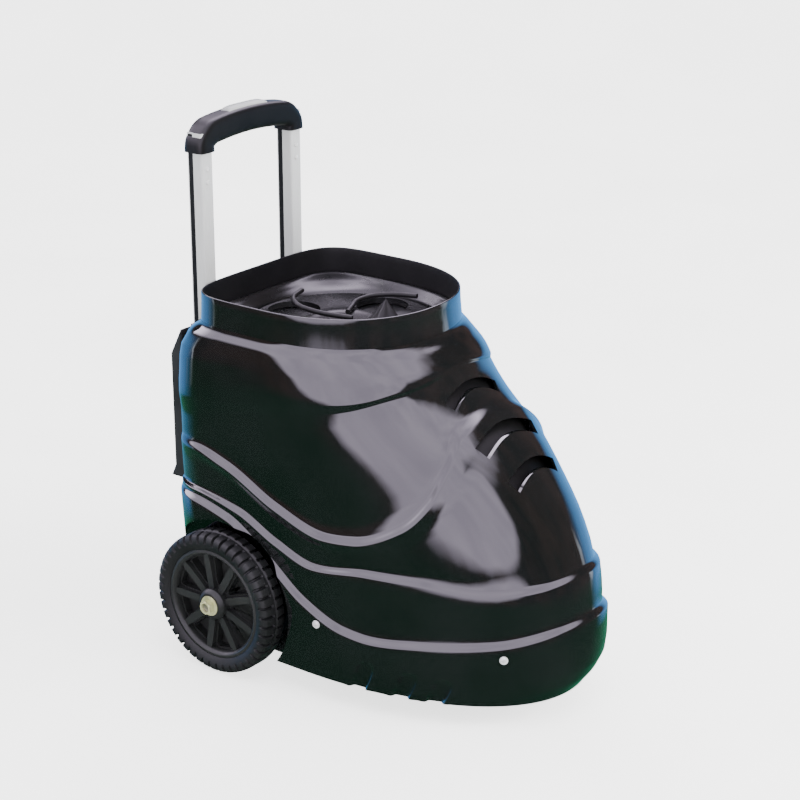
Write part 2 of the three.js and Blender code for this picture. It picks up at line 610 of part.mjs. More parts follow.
// ---- running gear ----
add('axle', bar('x', AXLE_R, 2 * AXLE_HALF, 0, AXLE_Y, AXLE_Z), steel);
sides.forEach((side) => {
  const name = side < 0 ? 'left' : 'right';
  const turn = (geometry) => geometry.rotateY((side * Math.PI) / 2);
  const atWheel = (geometry) => turn(geometry).translate(side * WHEEL_X, AXLE_Y, AXLE_Z);
  const tread = [[TYRE_INNER_R, -17], [91, -TYRE_HALF], [98, -17], [TYRE_R, -8],
    [TYRE_R, 8], [98, 17], [91, TYRE_HALF], [TYRE_INNER_R, 17]];
  add(`tyre_${name}`, atWheel(turned(tread, 0, 0, 0, 36)), rubberBlack);
  const ring = turned([[70, -15], [77.6, -16], [77.6, 16], [70, 15]], 0, 0, 0, 30);
  const hub = turned([[6.6, -20], [HUB_R, -20], [HUB_R, 18], [HUB_R - 4, 22], [6.6, 22]], 0, 0, 0, 18);
  const spokes = [];
  for (let i = 0; i < SPOKES; i += 1) {
    const spoke = block(HUB_R - 2, 71.5, -6, 6, -9, 9);
    spokes.push(spoke.rotateZ((2 * Math.PI * i) / SPOKES));
  }
  add(`wheel_${name}`, atWheel(join(ring, hub, ...spokes)), mattBlack);
  const washer = [[6.4, 22 + GAP], [13, 22 + GAP], [13, 23.8], [6.4, 23.8]];
  add(`hub_washer_${name}`, atWheel(turned(washer, 0, 0, 0, 24)), zinc);
  const nut = cut(bar('z', 10, 8, 0, 0, 28.1, 6), bar('z', AXLE_R + 0.4, 20, 0, 0, 28.1));
  add(`axle_nut_${name}`, atWheel(nut), zinc);
});

screwPlaces.forEach((place, i) => {
  const head = turned([[0, GAP], [5.5, GAP], [5, 2.2], [3, 3.2], [0, 3.4]], 0, 0, 0, 12).rotateX(-Math.PI / 2);
  const shank = new THREE.CylinderGeometry(2.4, 2.4, 14, 8).translate(0, -6, 0);
  const low = i === 0 || i === 3 ? 'side' : 'nose';
  add(`shell_screw_${low}_${i < 2 ? 'left' : 'right'}`, alongDirection(join(head, shank), place), steel);
});

// ---- trolley handle ----
function rectangle(halfX, halfY) {
  return outline([[-halfX, -halfY], [halfX, -halfY], [halfX, halfY], [-halfX, halfY]]);
}
function boxTube(x, width, depth, wall, z0, z1) {
  const section = rectangle(width / 2, depth / 2);
  section.holes.push(rectangle(width / 2 - wall, depth / 2 - wall));
  return new THREE.ExtrudeGeometry(section, { depth: z1 - z0, bevelEnabled: false }).translate(x, TUBE_Y, z0);
}
sides.forEach((side) => {
  const name = side < 0 ? 'left' : 'right';
  const x = side * TUBE_X;
  const sleeveWall = 1.8;
  const fit = 2 * (sleeveWall + 0.6);
  add(`tube_sleeve_${name}`, boxTube(x, TUBE_W + fit, TUBE_D + fit, sleeveWall, SLEEVE_BOTTOM, SLEEVE_TOP), steel);
  add(`handle_tube_${name}`, boxTube(x, TUBE_W, TUBE_D, TUBE_WALL, TUBE_BOTTOM, TUBE_TOP), aluminium);
});

const gripShape = new THREE.Shape();
gripShape.moveTo(-GRIP_HALF, GRIP_BOTTOM);
gripShape.lineTo(-GRIP_HALF, GRIP_TOP - 30);
gripShape.quadraticCurveTo(-GRIP_HALF, GRIP_TOP - 3, -GRIP_HALF + 34, GRIP_TOP - 2);
gripShape.quadraticCurveTo(0, GRIP_TOP + 2, GRIP_HALF - 34, GRIP_TOP - 2);
gripShape.quadraticCurveTo(GRIP_HALF, GRIP_TOP - 3, GRIP_HALF, GRIP_TOP - 30);
gripShape.lineTo(GRIP_HALF, GRIP_BOTTOM);
gripShape.lineTo(GRIP_HALF - 30, GRIP_BOTTOM);
gripShape.lineTo(GRIP_HALF - 31, GRIP_UNDER - 6);
gripShape.quadraticCurveTo(GRIP_HALF - 32, GRIP_UNDER, GRIP_HALF - 40, GRIP_UNDER);
gripShape.lineTo(40 - GRIP_HALF, GRIP_UNDER);
gripShape.quadraticCurveTo(32 - GRIP_HALF, GRIP_UNDER, 31 - GRIP_HALF, GRIP_UNDER - 6);
gripShape.lineTo(30 - GRIP_HALF, GRIP_BOTTOM);
gripShape.closePath();
const BUTTON_HALF = 40;
const BUTTON_TOP = GRIP_TOP + 6;
add('handle_grip', cut(
  alongY(gripShape, TUBE_Y - 17, TUBE_Y + 17, 6),
  ...sides.map((side) => {
    const x = side * TUBE_X;
    const halfX = TUBE_W / 2 + GAP;
    const halfY = TUBE_D / 2 + GAP;
    return block(x - halfX, x + halfX, TUBE_Y - halfY, TUBE_Y + halfY, GRIP_BOTTOM - 5, TUBE_TOP + GAP);
  }),
  block(-BUTTON_HALF - GAP, BUTTON_HALF + GAP, TUBE_Y - 9.3, TUBE_Y + 9.3, GRIP_TOP - 16, GRIP_TOP + 20),
), mattBlack);
const buttonShape = new THREE.Shape();
buttonShape.moveTo(-BUTTON_HALF, GRIP_TOP - 8);
buttonShape.lineTo(-BUTTON_HALF, GRIP_TOP + 1);
buttonShape.quadraticCurveTo(-BUTTON_HALF + 4, BUTTON_TOP, 16 - BUTTON_HALF, BUTTON_TOP);
buttonShape.lineTo(BUTTON_HALF - 16, BUTTON_TOP);
buttonShape.quadraticCurveTo(BUTTON_HALF - 4, BUTTON_TOP, BUTTON_HALF, GRIP_TOP + 1);
buttonShape.lineTo(BUTTON_HALF, GRIP_TOP - 8);
buttonShape.closePath();
add('grip_button', alongY(buttonShape, TUBE_Y - 9, TUBE_Y + 9, 4), buttonGrey);

export default group;
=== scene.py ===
# %% [markdown]
# # A wheeled tennis ball machine
#
# The machine is a glossy black moulded shell on two wheels, with a hopper collar on top and a trolley
# handle behind it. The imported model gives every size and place. Here each visible piece gets the fine
# surface and the finish that a real one has.

import json
from math import cos, radians, sin

import bmesh
import bpy
import numpy as np
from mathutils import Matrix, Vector


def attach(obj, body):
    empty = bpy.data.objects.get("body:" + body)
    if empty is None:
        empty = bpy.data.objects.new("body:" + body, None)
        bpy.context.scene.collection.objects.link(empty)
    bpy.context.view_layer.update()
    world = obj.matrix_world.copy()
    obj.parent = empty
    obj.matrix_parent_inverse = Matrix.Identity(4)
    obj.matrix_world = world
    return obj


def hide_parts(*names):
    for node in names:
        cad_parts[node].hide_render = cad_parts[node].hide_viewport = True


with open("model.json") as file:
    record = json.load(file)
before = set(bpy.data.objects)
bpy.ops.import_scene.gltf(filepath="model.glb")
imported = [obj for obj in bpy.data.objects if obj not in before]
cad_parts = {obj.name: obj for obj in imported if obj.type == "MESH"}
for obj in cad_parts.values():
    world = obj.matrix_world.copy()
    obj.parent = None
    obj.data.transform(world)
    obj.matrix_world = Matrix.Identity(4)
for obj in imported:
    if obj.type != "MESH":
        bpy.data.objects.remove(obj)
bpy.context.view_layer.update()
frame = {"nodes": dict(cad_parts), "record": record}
record = frame["record"]

# %% [markdown]
# ## Camera
#
# A long lens from a little above the horizon shows the nose and the left side together. The camera
# stands on a circle round the machine, given by an azimuth and an elevation, and looks at its middle.

# %% Camera
AZIMUTH, ELEVATION, DISTANCE = radians(-53), radians(20), 2.714
target = Vector((0.035, 0.0295, 0.356))
back = Vector((sin(AZIMUTH) * cos(ELEVATION), -cos(AZIMUTH) * cos(ELEVATION), sin(ELEVATION)))
camera_data = bpy.data.cameras.new("camera")
camera_data.lens = 90
camera_data.sensor_width = 36
camera_data.clip_end = 50
camera = bpy.data.objects.new("camera", camera_data)
camera.location = target + back * DISTANCE
camera.rotation_euler = (-back).to_track_quat("-Z", "Y").to_euler()
bpy.context.scene.collection.objects.link(camera)
bpy.context.scene.camera = camera
print("camera at", tuple(round(v, 3) for v in camera.location))

# %% [markdown]
# ## Helpers that turn arrays into pieces
#
# Every new piece below is worked out with numpy and handed to Blender as whole arrays. A piece is
# either a ring of rings, which closes on itself both ways, or a stack of rings with a flat cap at each
# end. Both are closed, so the cuts made later always meet solid material.

# %% From arrays to a mesh
MM = 0.001
ORIGIN_SHIFT = 3.5  # the drawing's Y origin lies this far behind the frame's, in millimetres


def new_piece(name, points, quads, triangles=(), sharp=35):
    """Puts points, in the drawing's millimetres, and faces into a mesh object in metres, then turns every
    face of a closed piece to look outwards."""
    place = (np.asarray(points, float) + (0, ORIGIN_SHIFT, 0)) * MM
    mesh = bpy.data.meshes.new(name)
    fours = np.asarray(quads).reshape(-1, 4).tolist()
    threes = np.asarray(triangles).reshape(-1, 3).astype(int).tolist()
    mesh.from_pydata(place.tolist(), [], fours + threes)
    shape = bmesh.new()
    shape.from_mesh(mesh)
    bmesh.ops.recalc_face_normals(shape, faces=shape.faces)
    shape.to_mesh(mesh)
    shape.free()
    piece = bpy.data.objects.new(name, mesh)
    bpy.context.scene.collection.objects.link(piece)
    finish_shading(piece, sharp)
    return piece


def finish_shading(piece, sharp=35):
    """Shades a piece smooth, with an edge kept crisp where its faces turn by more than sharp degrees."""
    mesh = piece.data
    mesh.validate()
    mesh.shade_smooth()
    mesh.set_sharp_from_angle(angle=radians(sharp))
    mesh.update()


def grid_quads(rows, columns, close_rows):
    """Four-sided faces of a rows by columns grid whose columns close on themselves. Each face joins a
    point, the next column's point and the two above them, and the last row may join the first."""
    row = np.arange(rows if close_rows else rows - 1)[:, None]
    column = np.arange(columns)[None, :]
    up, along = (row + 1) % rows, (column + 1) % columns
    corners = [row * columns + column, row * columns + along, up * columns + along, up * columns + column]
    return np.stack(np.broadcast_arrays(*corners), axis=-1).reshape(-1, 4)


def stack(name, rings, sharp=35):
    """A closed solid through a stack of rings, lowest first, each running anticlockwise seen from above.
    A fan of triangles to each end ring's middle closes the ends."""
    rings = np.asarray(rings, float)
    rows, columns = rings.shape[:2]
    points = np.vstack([rings.reshape(-1, 3), rings[0].mean(0), rings[-1].mean(0)])
    here = np.arange(columns)
    after = (here + 1) % columns
    low = np.stack([after, here, np.full(columns, rows * columns)], 1)
    top = (rows - 1) * columns
    high = np.stack([top + here, top + after, np.full(columns, rows * columns + 1)], 1)
    return new_piece(name, points, grid_quads(rows, columns, False), np.vstack([low, high]), sharp)


def loop_of_rings(name, rings, sharp=35):
    """A closed solid whose rings follow one another round to the first, as a tyre's sections do."""
    rings = np.asarray(rings, float)
    rows, columns = rings.shape[:2]
    return new_piece(name, rings.reshape(-1, 3), grid_quads(rows, columns, True), sharp=sharp)


def combine(piece, other, operation="DIFFERENCE"):
    """Cuts another closed solid out of a piece, or joins it on, and throws the other away."""
    modifier = piece.modifiers.new("combine", "BOOLEAN")
    modifier.operation = operation
    modifier.object = other
    modifier.solver = "MANIFOLD"
    bpy.context.view_layer.update()
    shaped = piece.evaluated_get(bpy.context.evaluated_depsgraph_get())
    mesh = bpy.data.meshes.new_from_object(shaped)
    piece.modifiers.clear()
    old = piece.data
    piece.data = mesh
    mesh.name = piece.name
    bpy.data.meshes.remove(old)
    bpy.data.objects.remove(other)
    return piece


# %% Curves, turned shapes and swept shapes
def smooth(points):
    """A curve through (position, value) points. Each stretch is a cubic whose end slopes are the
    harmonic mean of the slopes on either side, or level where those disagree, so it never overshoots."""
    at, value = np.array(points, float).T
    rise = np.diff(value) / np.diff(at)
    slope = np.zeros(len(at))
    same = rise[:-1] * rise[1:] > 0
    pair = np.where(same, rise[:-1] + rise[1:], 1)
    slope[1:-1] = np.where(same, 2 * rise[:-1] * rise[1:] / pair, 0)

    def curve(position):
        u = np.clip(position, at[0], at[-1])
        i = np.clip(np.searchsorted(at, u), 1, len(at) - 1)
        span = at[i] - at[i - 1]
        s = (u - at[i - 1]) / span
        start = value[i - 1] * (1 + 2 * s) * (1 - s) ** 2 + slope[i - 1] * span * s * (1 - s) ** 2
        return start + value[i] * s * s * (3 - 2 * s) + slope[i] * span * s * s * (s - 1)

    return curve


def ease(u):
    """Zero up to 0, one from 1 on, and three u squared less two u cubed between them."""
    s = np.clip(u, 0, 1)
    return s * s * (3 - 2 * s)


def turned(name, profile, centre, axis="z", sides=96, sharp=35):
    """A profile of (radius, height) points turned about an axis through centre. At angle a, a point
    stands radius times cosine and sine of a from the axis, and its height along it."""
    radius, height = np.array(profile, float).T
    angle = np.linspace(0, 2 * np.pi, sides, endpoint=False)
    across = radius[None, :] * np.cos(angle)[:, None]
    over = radius[None, :] * np.sin(angle)[:, None]
    along = np.broadcast_to(height[None, :], across.shape)
    order = {"z": (across, over, along), "x": (along, across, over), "y": (over, along, across)}[axis]
    rings = np.stack(order, axis=-1) + np.array(centre, float)
    return loop_of_rings(name, rings[:, ::-1], sharp)


def swept(name, path, section, side=(0, 1, 0), sharp=35):
    """A flat section carried along a path. At each point the section's first axis lies along side, made
    square to the path, and its second along the path's direction crossed with that."""
    path, section = np.array(path, float), np.array(section, float)
    ahead = np.gradient(path, axis=0)
    ahead /= np.linalg.norm(ahead, axis=1, keepdims=True)
    first = np.array(side, float) - ahead * (ahead @ np.array(side, float))[:, None]
    first /= np.linalg.norm(first, axis=1, keepdims=True)
    second = np.cross(ahead, first)
    offsets = section[None, :, 0, None] * first[:, None] + section[None, :, 1, None] * second[:, None]
    return stack(name, path[:, None] + offsets, sharp)


def superellipse(half_a, half_b, power, sides=48):
    """A closed section with softly squared corners: at angle a, the points lie where the two halves'
    shares, each raised to the power, add up to one."""
    angle = np.linspace(0, 2 * np.pi, sides, endpoint=False)
    c, s = np.cos(angle), np.sin(angle)
    reach = (np.abs(c / half_a) ** power + np.abs(s / half_b) ** power) ** (-1 / power)
    return np.stack([reach * c, reach * s], 1)


def slab(name, low, high):
    """A plain block between two corners, to cut with or to fill a channel."""
    x0, y0, z0, x1, y1, z1 = *low, *high
    ring = np.array([(x0, y0), (x1, y0), (x1, y1), (x0, y1)], float)
    levels = [np.column_stack([ring, np.full(4, z)]) for z in (z0, z1)]
    return stack(name, levels)


print("helpers ready")

# %% [markdown]
# ## Colours and finishes
#
# Moulded plastic is never one flat colour. Its gloss wanders a little where the mould was polished, and
# fine dust and handling marks dull it in places. Each finish below mixes two close colours by a soft
# noise in the object's own coordinates, lets a second noise vary the roughness, and adds a faint bump.

# %% Building blocks for finishes
def node_tree(name):
    """A new material with only a Principled shader and its output."""
    material = bpy.data.materials.new(name)
    material.use_nodes = True
    tree = material.node_tree
    shader = tree.nodes["Principled BSDF"]
    return material, tree, shader


def set_inputs(node, **values):
    """Sets a node's input sockets by name, with underscores for spaces."""
    for key, value in values.items():
        node.inputs[key.replace("_", " ")].default_value = value


def noise(tree, scale, detail=4, roughness=0.5, stretch=None):
    """Noise in object coordinates, which may be stretched to run along one axis."""
    place = tree.nodes.new("ShaderNodeTexCoord").outputs["Object"]
    if stretch:
        mapping = tree.nodes.new("ShaderNodeMapping")
        mapping.inputs["Scale"].default_value = stretch
        tree.links.new(place, mapping.inputs["Vector"])
        place = mapping.outputs["Vector"]
    texture = tree.nodes.new("ShaderNodeTexNoise")
    set_inputs(texture, Scale=scale, Detail=detail, Roughness=roughness)
    tree.links.new(place, texture.inputs["Vector"])
    return texture.outputs["Fac"]


def between(tree, value, low, high, start=0.3, end=0.7):
    """Turns a value that runs from start to end into one that runs from low to high."""
    spread = tree.nodes.new("ShaderNodeMapRange")
    for socket, number in zip(("From Min", "From Max", "To Min", "To Max"), (start, end, low, high)):
        spread.inputs[socket].default_value = number
    tree.links.new(value, spread.inputs["Value"])
    return spread.outputs["Result"]


def two_colours(tree, value, first, second, start=0.35, end=0.65):
    """A colour that runs from first to second as value runs from start to end."""
    ramp = tree.nodes.new("ShaderNodeValToRGB")
    ramp.color_ramp.elements[0].position, ramp.color_ramp.elements[1].position = start, end
    ramp.color_ramp.elements[0].color, ramp.color_ramp.elements[1].color = (*first, 1), (*second, 1)
    tree.links.new(value, ramp.inputs["Fac"])
    return ramp.outputs["Color"]


def bump(tree, shader, height, strength, distance):
    """A bump of the given height field, with distance in metres."""
    node = tree.nodes.new("ShaderNodeBump")
    set_inputs(node, Strength=strength, Distance=distance)
    tree.links.new(height, node.inputs["Height"])
    tree.links.new(node.outputs["Normal"], shader.inputs["Normal"])


def plastic(name, first, second, rough, grain, relief_depth, coat=0.0, ior=1.5):
    """Moulded plastic: two close colours in soft patches, wandering gloss and a fine moulded grain."""
    material, tree, shader = node_tree(name)
    tree.links.new(two_colours(tree, noise(tree, 9), first, second), shader.inputs["Base Color"])
    tree.links.new(between(tree, noise(tree, 22, 6, 0.6), *rough), shader.inputs["Roughness"])
    set_inputs(shader, IOR=ior, Coat_Weight=coat, Coat_Roughness=0.06, Coat_IOR=1.6)
    bump(tree, shader, noise(tree, grain, 2), 0.35, relief_depth)
    return material


def metal(name, first, second, rough, stretch, scale, metallic, depth=0.00003):
    """Metal with a drawn or turned grain: noise stretched along the grain varies colour and gloss."""
    material, tree, shader = node_tree(name)
    grain = noise(tree, scale, 5, 0.6, stretch)
    tree.links.new(two_colours(tree, grain, first, second), shader.inputs["Base Color"])
    tree.links.new(between(tree, grain, *rough), shader.inputs["Roughness"])
    set_inputs(shader, Metallic=metallic)
    bump(tree, shader, grain, 0.3, depth)
    return material


# %% The finishes, by the record's slots
# Each plastic's two colours, its least and greatest roughness, its grain's scale and depth in metres,
# and, where it has them, the share of clear coat and the refractive index.
PLASTICS = {
    "shell": ((0.0035, 0.0045, 0.0045), (0.006, 0.0065, 0.007), (0.04, 0.09), 5, 0.0006, 1.0, 1.7),
    "collar": ((0.0035, 0.0045, 0.0045), (0.006, 0.0065, 0.007), (0.05, 0.11), 7, 0.0004, 1.0, 1.6),
    "inside": ((0.003, 0.003, 0.0035), (0.006, 0.006, 0.0065), (0.5, 0.65), 500, 0.0001),
    "bowl": ((0.005, 0.005, 0.006), (0.009, 0.009, 0.010), (0.24, 0.34), 14, 0.0003, 0.0, 1.75),
    "turntable": ((0.006, 0.006, 0.007), (0.012, 0.012, 0.013), (0.2, 0.3), 600, 0.00004, 0.0, 1.6),
    "tray": ((0.010, 0.010, 0.010), (0.018, 0.018, 0.018), (0.5, 0.65), 700, 0.0001),
    "housing": ((0.010, 0.011, 0.012), (0.018, 0.019, 0.021), (0.32, 0.48), 800, 0.00008),
    "trim": ((0.020, 0.021, 0.023), (0.032, 0.033, 0.036), (0.4, 0.55), 800, 0.00008),
    "rubber": ((0.002, 0.002, 0.002), (0.005, 0.005, 0.005), (0.4, 0.55), 500, 0.00008),
    "tyre": ((0.0035, 0.004, 0.004), (0.008, 0.009, 0.009), (0.42, 0.6), 420, 0.00016),
    "wheel": ((0.011, 0.012, 0.012), (0.018, 0.019, 0.019), (0.34, 0.46), 700, 0.00006),
    "grip": ((0.0025, 0.0025, 0.003), (0.005, 0.005, 0.0055), (0.36, 0.48), 900, 0.00006),
    "button": ((0.30, 0.305, 0.31), (0.38, 0.385, 0.39), (0.35, 0.5), 900, 0.00005),
    "rocker": ((0.30, 0.012, 0.012), (0.38, 0.02, 0.018), (0.25, 0.4), 900, 0.00004),
    "lens": ((0.008, 0.03, 0.04), (0.015, 0.05, 0.065), (0.05, 0.1), 40, 0.00002, 1.0),
    "board": ((0.005, 0.06, 0.02), (0.012, 0.11, 0.04), (0.3, 0.45), 300, 0.0001),
}
# Each metal's two colours, its roughness, how its grain is stretched and scaled, and how metallic it is.
METALS = {
    "tube": ((0.50, 0.505, 0.51), (0.60, 0.605, 0.61), (0.4, 0.52), (60, 60, 1.2), 40, 0.3),
    "steel": ((0.42, 0.42, 0.43), (0.58, 0.58, 0.59), (0.28, 0.42), (1, 14, 14), 60, 1.0),
    "zinc": ((0.50, 0.50, 0.26), (0.66, 0.68, 0.42), (0.3, 0.45), (1, 1, 1), 90, 0.55),
    "screw": ((0.62, 0.62, 0.63), (0.8, 0.8, 0.8), (0.25, 0.4), (1, 1, 1), 300, 0.4),
}
finishes = {slot: plastic(f"{slot}_finish", *values) for slot, values in PLASTICS.items()}
finishes.update({slot: metal(f"{slot}_finish", *values) for slot, values in METALS.items()})
print("finishes:", ", ".join(finishes))


def dress(piece, body, slot, *nodes):
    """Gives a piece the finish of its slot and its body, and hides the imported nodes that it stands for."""
    piece.data.materials.clear()
    piece.data.materials.append(finishes[slot])
    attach(piece, body)
    if nodes:
        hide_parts(*nodes)
    print(f"{piece.name}: {len(piece.data.polygons)} faces")
    return piece


# %% [markdown]
# ## The moulded body
#
# The shell is one large plastic moulding. Seen from above it is blunt behind and long and round at the
# nose, and the outline changes with height. At every height it is two halves of a superellipse, and
# each measure of it is a smooth curve against height. A subdivision surface could be pushed into this
# shape by hand, but the curves say exactly where the wall is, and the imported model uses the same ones.

# %% The plan of the body at each height
WALL = 5
COLLAR_Z, RIM_Z = 476, 515
SKIRT_Z = 32
half_width = smooth([[20, 156], [100, 157], [200, 159], [300, 161], [390, 163], [420, 164],
                     [440, 163.5], [460, 159], [476, 153], [516, 152]])
widest_y = smooth([[20, 30], [150, 48], [250, 62], [350, 80], [420, 100], [476, 112], [516, 115]])
nose_y = smooth([[20, -262], [60, -285], [90, -296], [150, -296], [200, -290], [250, -270],
                 [300, -236], [350, -193], [390, -143], [420, -114], [440, -101], [460, -80],
                 [476, -63], [516, -60]])
rear_y = smooth([[20, 270], [150, 275], [250, 276], [420, 275], [445, 271], [460, 262], [476, 248],
                 [516, 247]])
rear_power = smooth([[20, 8], [300, 8], [420, 7], [460, 5.8], [476, 5.1], [516, 5]])
nose_power = smooth([[20, 2.1], [250, 2.1], [350, 2.15], [476, 2.25], [516, 2.25]])

HEIGHTS = np.arange(-4, 525, 2.0)
SHARES = np.linspace(0, 1, 501)


def plan_table():
    """Points and outward directions at each height and each share of the way round the -X side, from
    mid-rear 0 to mid-nose 1. A point at angle a lies on a superellipse, at the distance whose cosine
    and sine parts, over the half width and the reach, add up to one when raised to the power."""
    angle = np.linspace(np.pi / 2, -np.pi / 2, 1441)
    z = HEIGHTS[:, None]
    rear = angle >= 0
    reach = np.where(rear, rear_y(z) - widest_y(z), widest_y(z) - nose_y(z))
    power = np.where(rear, rear_power(z), nose_power(z))
    spread = np.abs(np.cos(angle) / half_width(z)) ** power + np.abs(np.sin(angle) / reach) ** power
    distance = spread ** (-1 / power)
    x, y = -distance * np.cos(angle), widest_y(z) + distance * np.sin(angle)
    steps = np.hypot(np.diff(x), np.diff(y))
    length = np.hstack([np.zeros((len(HEIGHTS), 1)), np.cumsum(steps, axis=1)])
    share = length / length[:, -1:]
    even = [(np.interp(SHARES, s, a), np.interp(SHARES, s, b)) for s, a, b in zip(share, x, y)]
    place = np.array(even).transpose(0, 2, 1)
    ahead = np.gradient(place, axis=1)
    ahead /= np.linalg.norm(ahead, axis=-1, keepdims=True)
    return place, np.stack([ahead[..., 1], -ahead[..., 0]], -1), length[:, -1]


PLAN, OUTWARD, HALF_ROUND = plan_table()
print("half way round at the skirt, in mm:", round(HALF_ROUND[18]))


def look_up(table, t, z):
    """The table's value at share t and height z, between its four nearest entries."""
    row = np.clip((z - HEIGHTS[0]) / 2, 0, len(HEIGHTS) - 1.001)
    column = np.clip(t * 500, 0, 499.999)
    i, j = row.astype(int), column.astype(int)
    u, v = (row - i)[..., None], (column - j)[..., None]
    low = table[i, j] * (1 - v) + table[i, j + 1] * v
    high = table[i + 1, j] * (1 - v) + table[i + 1, j + 1] * v
    return low * (1 - u) + high * u


# %% [markdown]
# Raised lines run round the body: a lip under the collar, a ridge that dips to the wheel and climbs
# again over the hood, and two ledges lower down. Each is a step in the wall that follows its own
# line. Arched flutes are pressed into the foot of the skirt.

# %% The moulded lines
band_top = smooth([[0, 372], [0.24, 374], [0.39, 384], [0.56, 402], [0.7, 412], [0.83, 429], [1, 446]])
band_foot = smooth([[0, 340], [0.22, 342], [0.37, 362], [0.55, 384], [0.7, 402], [0.83, 421], [1, 440]])
swoop = smooth([[0, 316], [0.26, 312], [0.34, 297], [0.44, 258], [0.54, 235], [0.6, 239], [0.7, 269],
                [0.77, 306], [0.83, 348], [0.9, 386], [1, 398]])
upper_ledge = smooth([[0, 250], [0.24, 247], [0.35, 236], [0.43, 207], [0.51, 188], [0.62, 198],
                      [0.71, 200], [0.81, 194], [0.91, 202], [1, 210]])
lower_ledge = smooth([[0, 242], [0.24, 240], [0.33, 226], [0.41, 186], [0.49, 138], [0.57, 112],
                      [0.62, 108], [0.71, 115], [0.84, 128], [1, 152]])
SWOOP_DROP, LEDGE_DROP = 12, 9
FLUTES = [(0.62, 72), (0.70, 70), (0.76, 68)]  # share round and height of each flute's top
FLUTE_HALF, FLUTE_DEPTH = 10, 5.5


def upper_drop(t):
    """The upper ledge's height. It starts narrow behind, where it crowds the lower one."""
    return 3 + (LEDGE_DROP - 3) * ease((t - 0.26) / 0.12)


def bead(t, z):
    """The rounded edge of the swooping ridge: a bell over height, centred just under its line."""
    fade = ease((t - 0.2) / 0.12) * ease((1.0 - t) / 0.12)
    return 4.2 * np.exp(-(((z - (swoop(t) - 11)) / 8.5) ** 2)) * fade


def relief(t, z):
    """How far the moulded lines push the wall out at share t and height z: each is an eased step."""
    lip = ease((band_top(t) + 45 - z) / 45) * (1 - ease((band_top(t) - z) / (band_top(t) - band_foot(t))))
    side = 4 * ease((swoop(t) - z) / SWOOP_DROP)
    upper = 7 * ease((upper_ledge(t) - z) / upper_drop(t))
    lower = 8 * ease((lower_ledge(t) - z) / LEDGE_DROP)
    return (3 * lip + side + upper + lower) * ease((t - 0.16) / 0.1)


def flutes(t, z):
    """How far the flutes press the skirt in: each is full depth inside an upright arch, with a low lip
    round it."""
    depth = 0
    for middle, top in FLUTES:
        across = (t - middle) * HALF_ROUND[18]
        arch = np.hypot(across, np.maximum(z - (top - FLUTE_HALF), 0))
        lip = 0.16 * np.exp(-(((arch - FLUTE_HALF - 4.5) / 4) ** 2))
        depth = depth + ease((FLUTE_HALF + 2 - arch) / 4.5) - lip
    return FLUTE_DEPTH * depth


def body_points(t, z, extra=0.0, lines=True):
    """Points of the body at share t, where 1 to 2 is the +X side, and height z, moved out by extra."""
    share = np.where(t > 1, 2 - t, t)
    push = extra + (relief(share, z) if lines else 0)
    flat = look_up(PLAN, share, z) + look_up(OUTWARD, share, z) * np.asarray(push)[..., None]
    x = np.where(t > 1, -flat[..., 0], flat[..., 0])
    return np.stack([np.where((share < 1e-9) | (share > 1 - 1e-9), 0, x), flat[..., 1], z], axis=-1)


# %% Even columns round the body, closer together over the flutes and the rear corners
def column_shares(count):
    """Shares of the way round whose spacing shrinks where a density, one plus two bumps, is high."""
    t = np.linspace(0, 1, 2001)
    density = 1 + 1.1 * np.exp(-(((t - 0.69) / 0.1) ** 4)) + 0.8 * np.exp(-(((t - 0.19) / 0.07) ** 2))
    total = np.hstack([0, np.cumsum((density[1:] + density[:-1]) / 2)])
    half = np.interp(np.linspace(0, total[-1], count // 2 + 1), total, t)
    return np.hstack([half, 2 - half[1:-1][::-1]])


def rows_between(lines, counts):
    """Heights of the rows from each line to the next, split into the given counts."""
    rows = [low + (high - low) * np.linspace(0, 1, n, endpoint=False)[:, None]
            for low, high, n in zip(lines, lines[1:], counts)]
    return np.vstack([*rows, lines[-1][None]])


shell_t = column_shares(560)
share_t = np.where(shell_t > 1, 2 - shell_t, shell_t)
level = np.ones_like(shell_t)
shell_lines = [
    SKIRT_Z * level, 78 * level, lower_ledge(share_t) - LEDGE_DROP, lower_ledge(share_t),
    upper_ledge(share_t) - upper_drop(share_t), upper_ledge(share_t), swoop(share_t) - SWOOP_DROP,
    swoop(share_t), band_foot(share_t), band_top(share_t), 457 * level, COLLAR_Z * level,
]
shell_z = rows_between(shell_lines, [15, 3, 8, 4, 8, 9, 8, 9, 8, 5, 8])
dressing = bead(share_t, shell_z) - flutes(share_t, shell_z)
shell_rings = body_points(np.broadcast_to(shell_t, shell_z.shape), shell_z, dressing)
shell = stack("shell_moulding", shell_rings, 40)
print("shell grid:", shell_z.shape)


# %% [markdown]
# The wall is made by taking a smaller body out of the larger one. The wheels stand in arched wells, and
# the smaller body keeps clear of them, so each well has a liner. The hollow, the wells, the opening
# behind and the vents are closed solids, and Blender's Boolean modifier cuts them out.

# %% Hollow, wheel wells, rear opening
AXLE_Y, AXLE_Z, WHEEL_X = 166, 100, 184
WELL_R, WELL_X = 113, 152


def disc(name, radius, low, high, centre, axis, sides=96):
    """A closed round bar about an axis, from low to high along it."""
    angle = np.linspace(0, 2 * np.pi, sides, endpoint=False)
    a, b = radius * np.cos(angle), radius * np.sin(angle)
    ends = [np.full(sides, low), np.full(sides, high)]
    order = {"z": lambda h: (a, b, h), "x": lambda h: (h, a, b), "y": lambda h: (b, h, a)}[axis]
    return stack(name, np.stack([np.stack(order(h), -1) for h in ends]) + np.array(centre, float))


def well(side, radius, inner):
    """The solid that a wheel well takes out, from its inner wall outwards."""
    low, high = sorted((side * inner, side * 300))
    return disc("well", radius, low, high, (0, AXLE_Y, AXLE_Z), "x", 128)


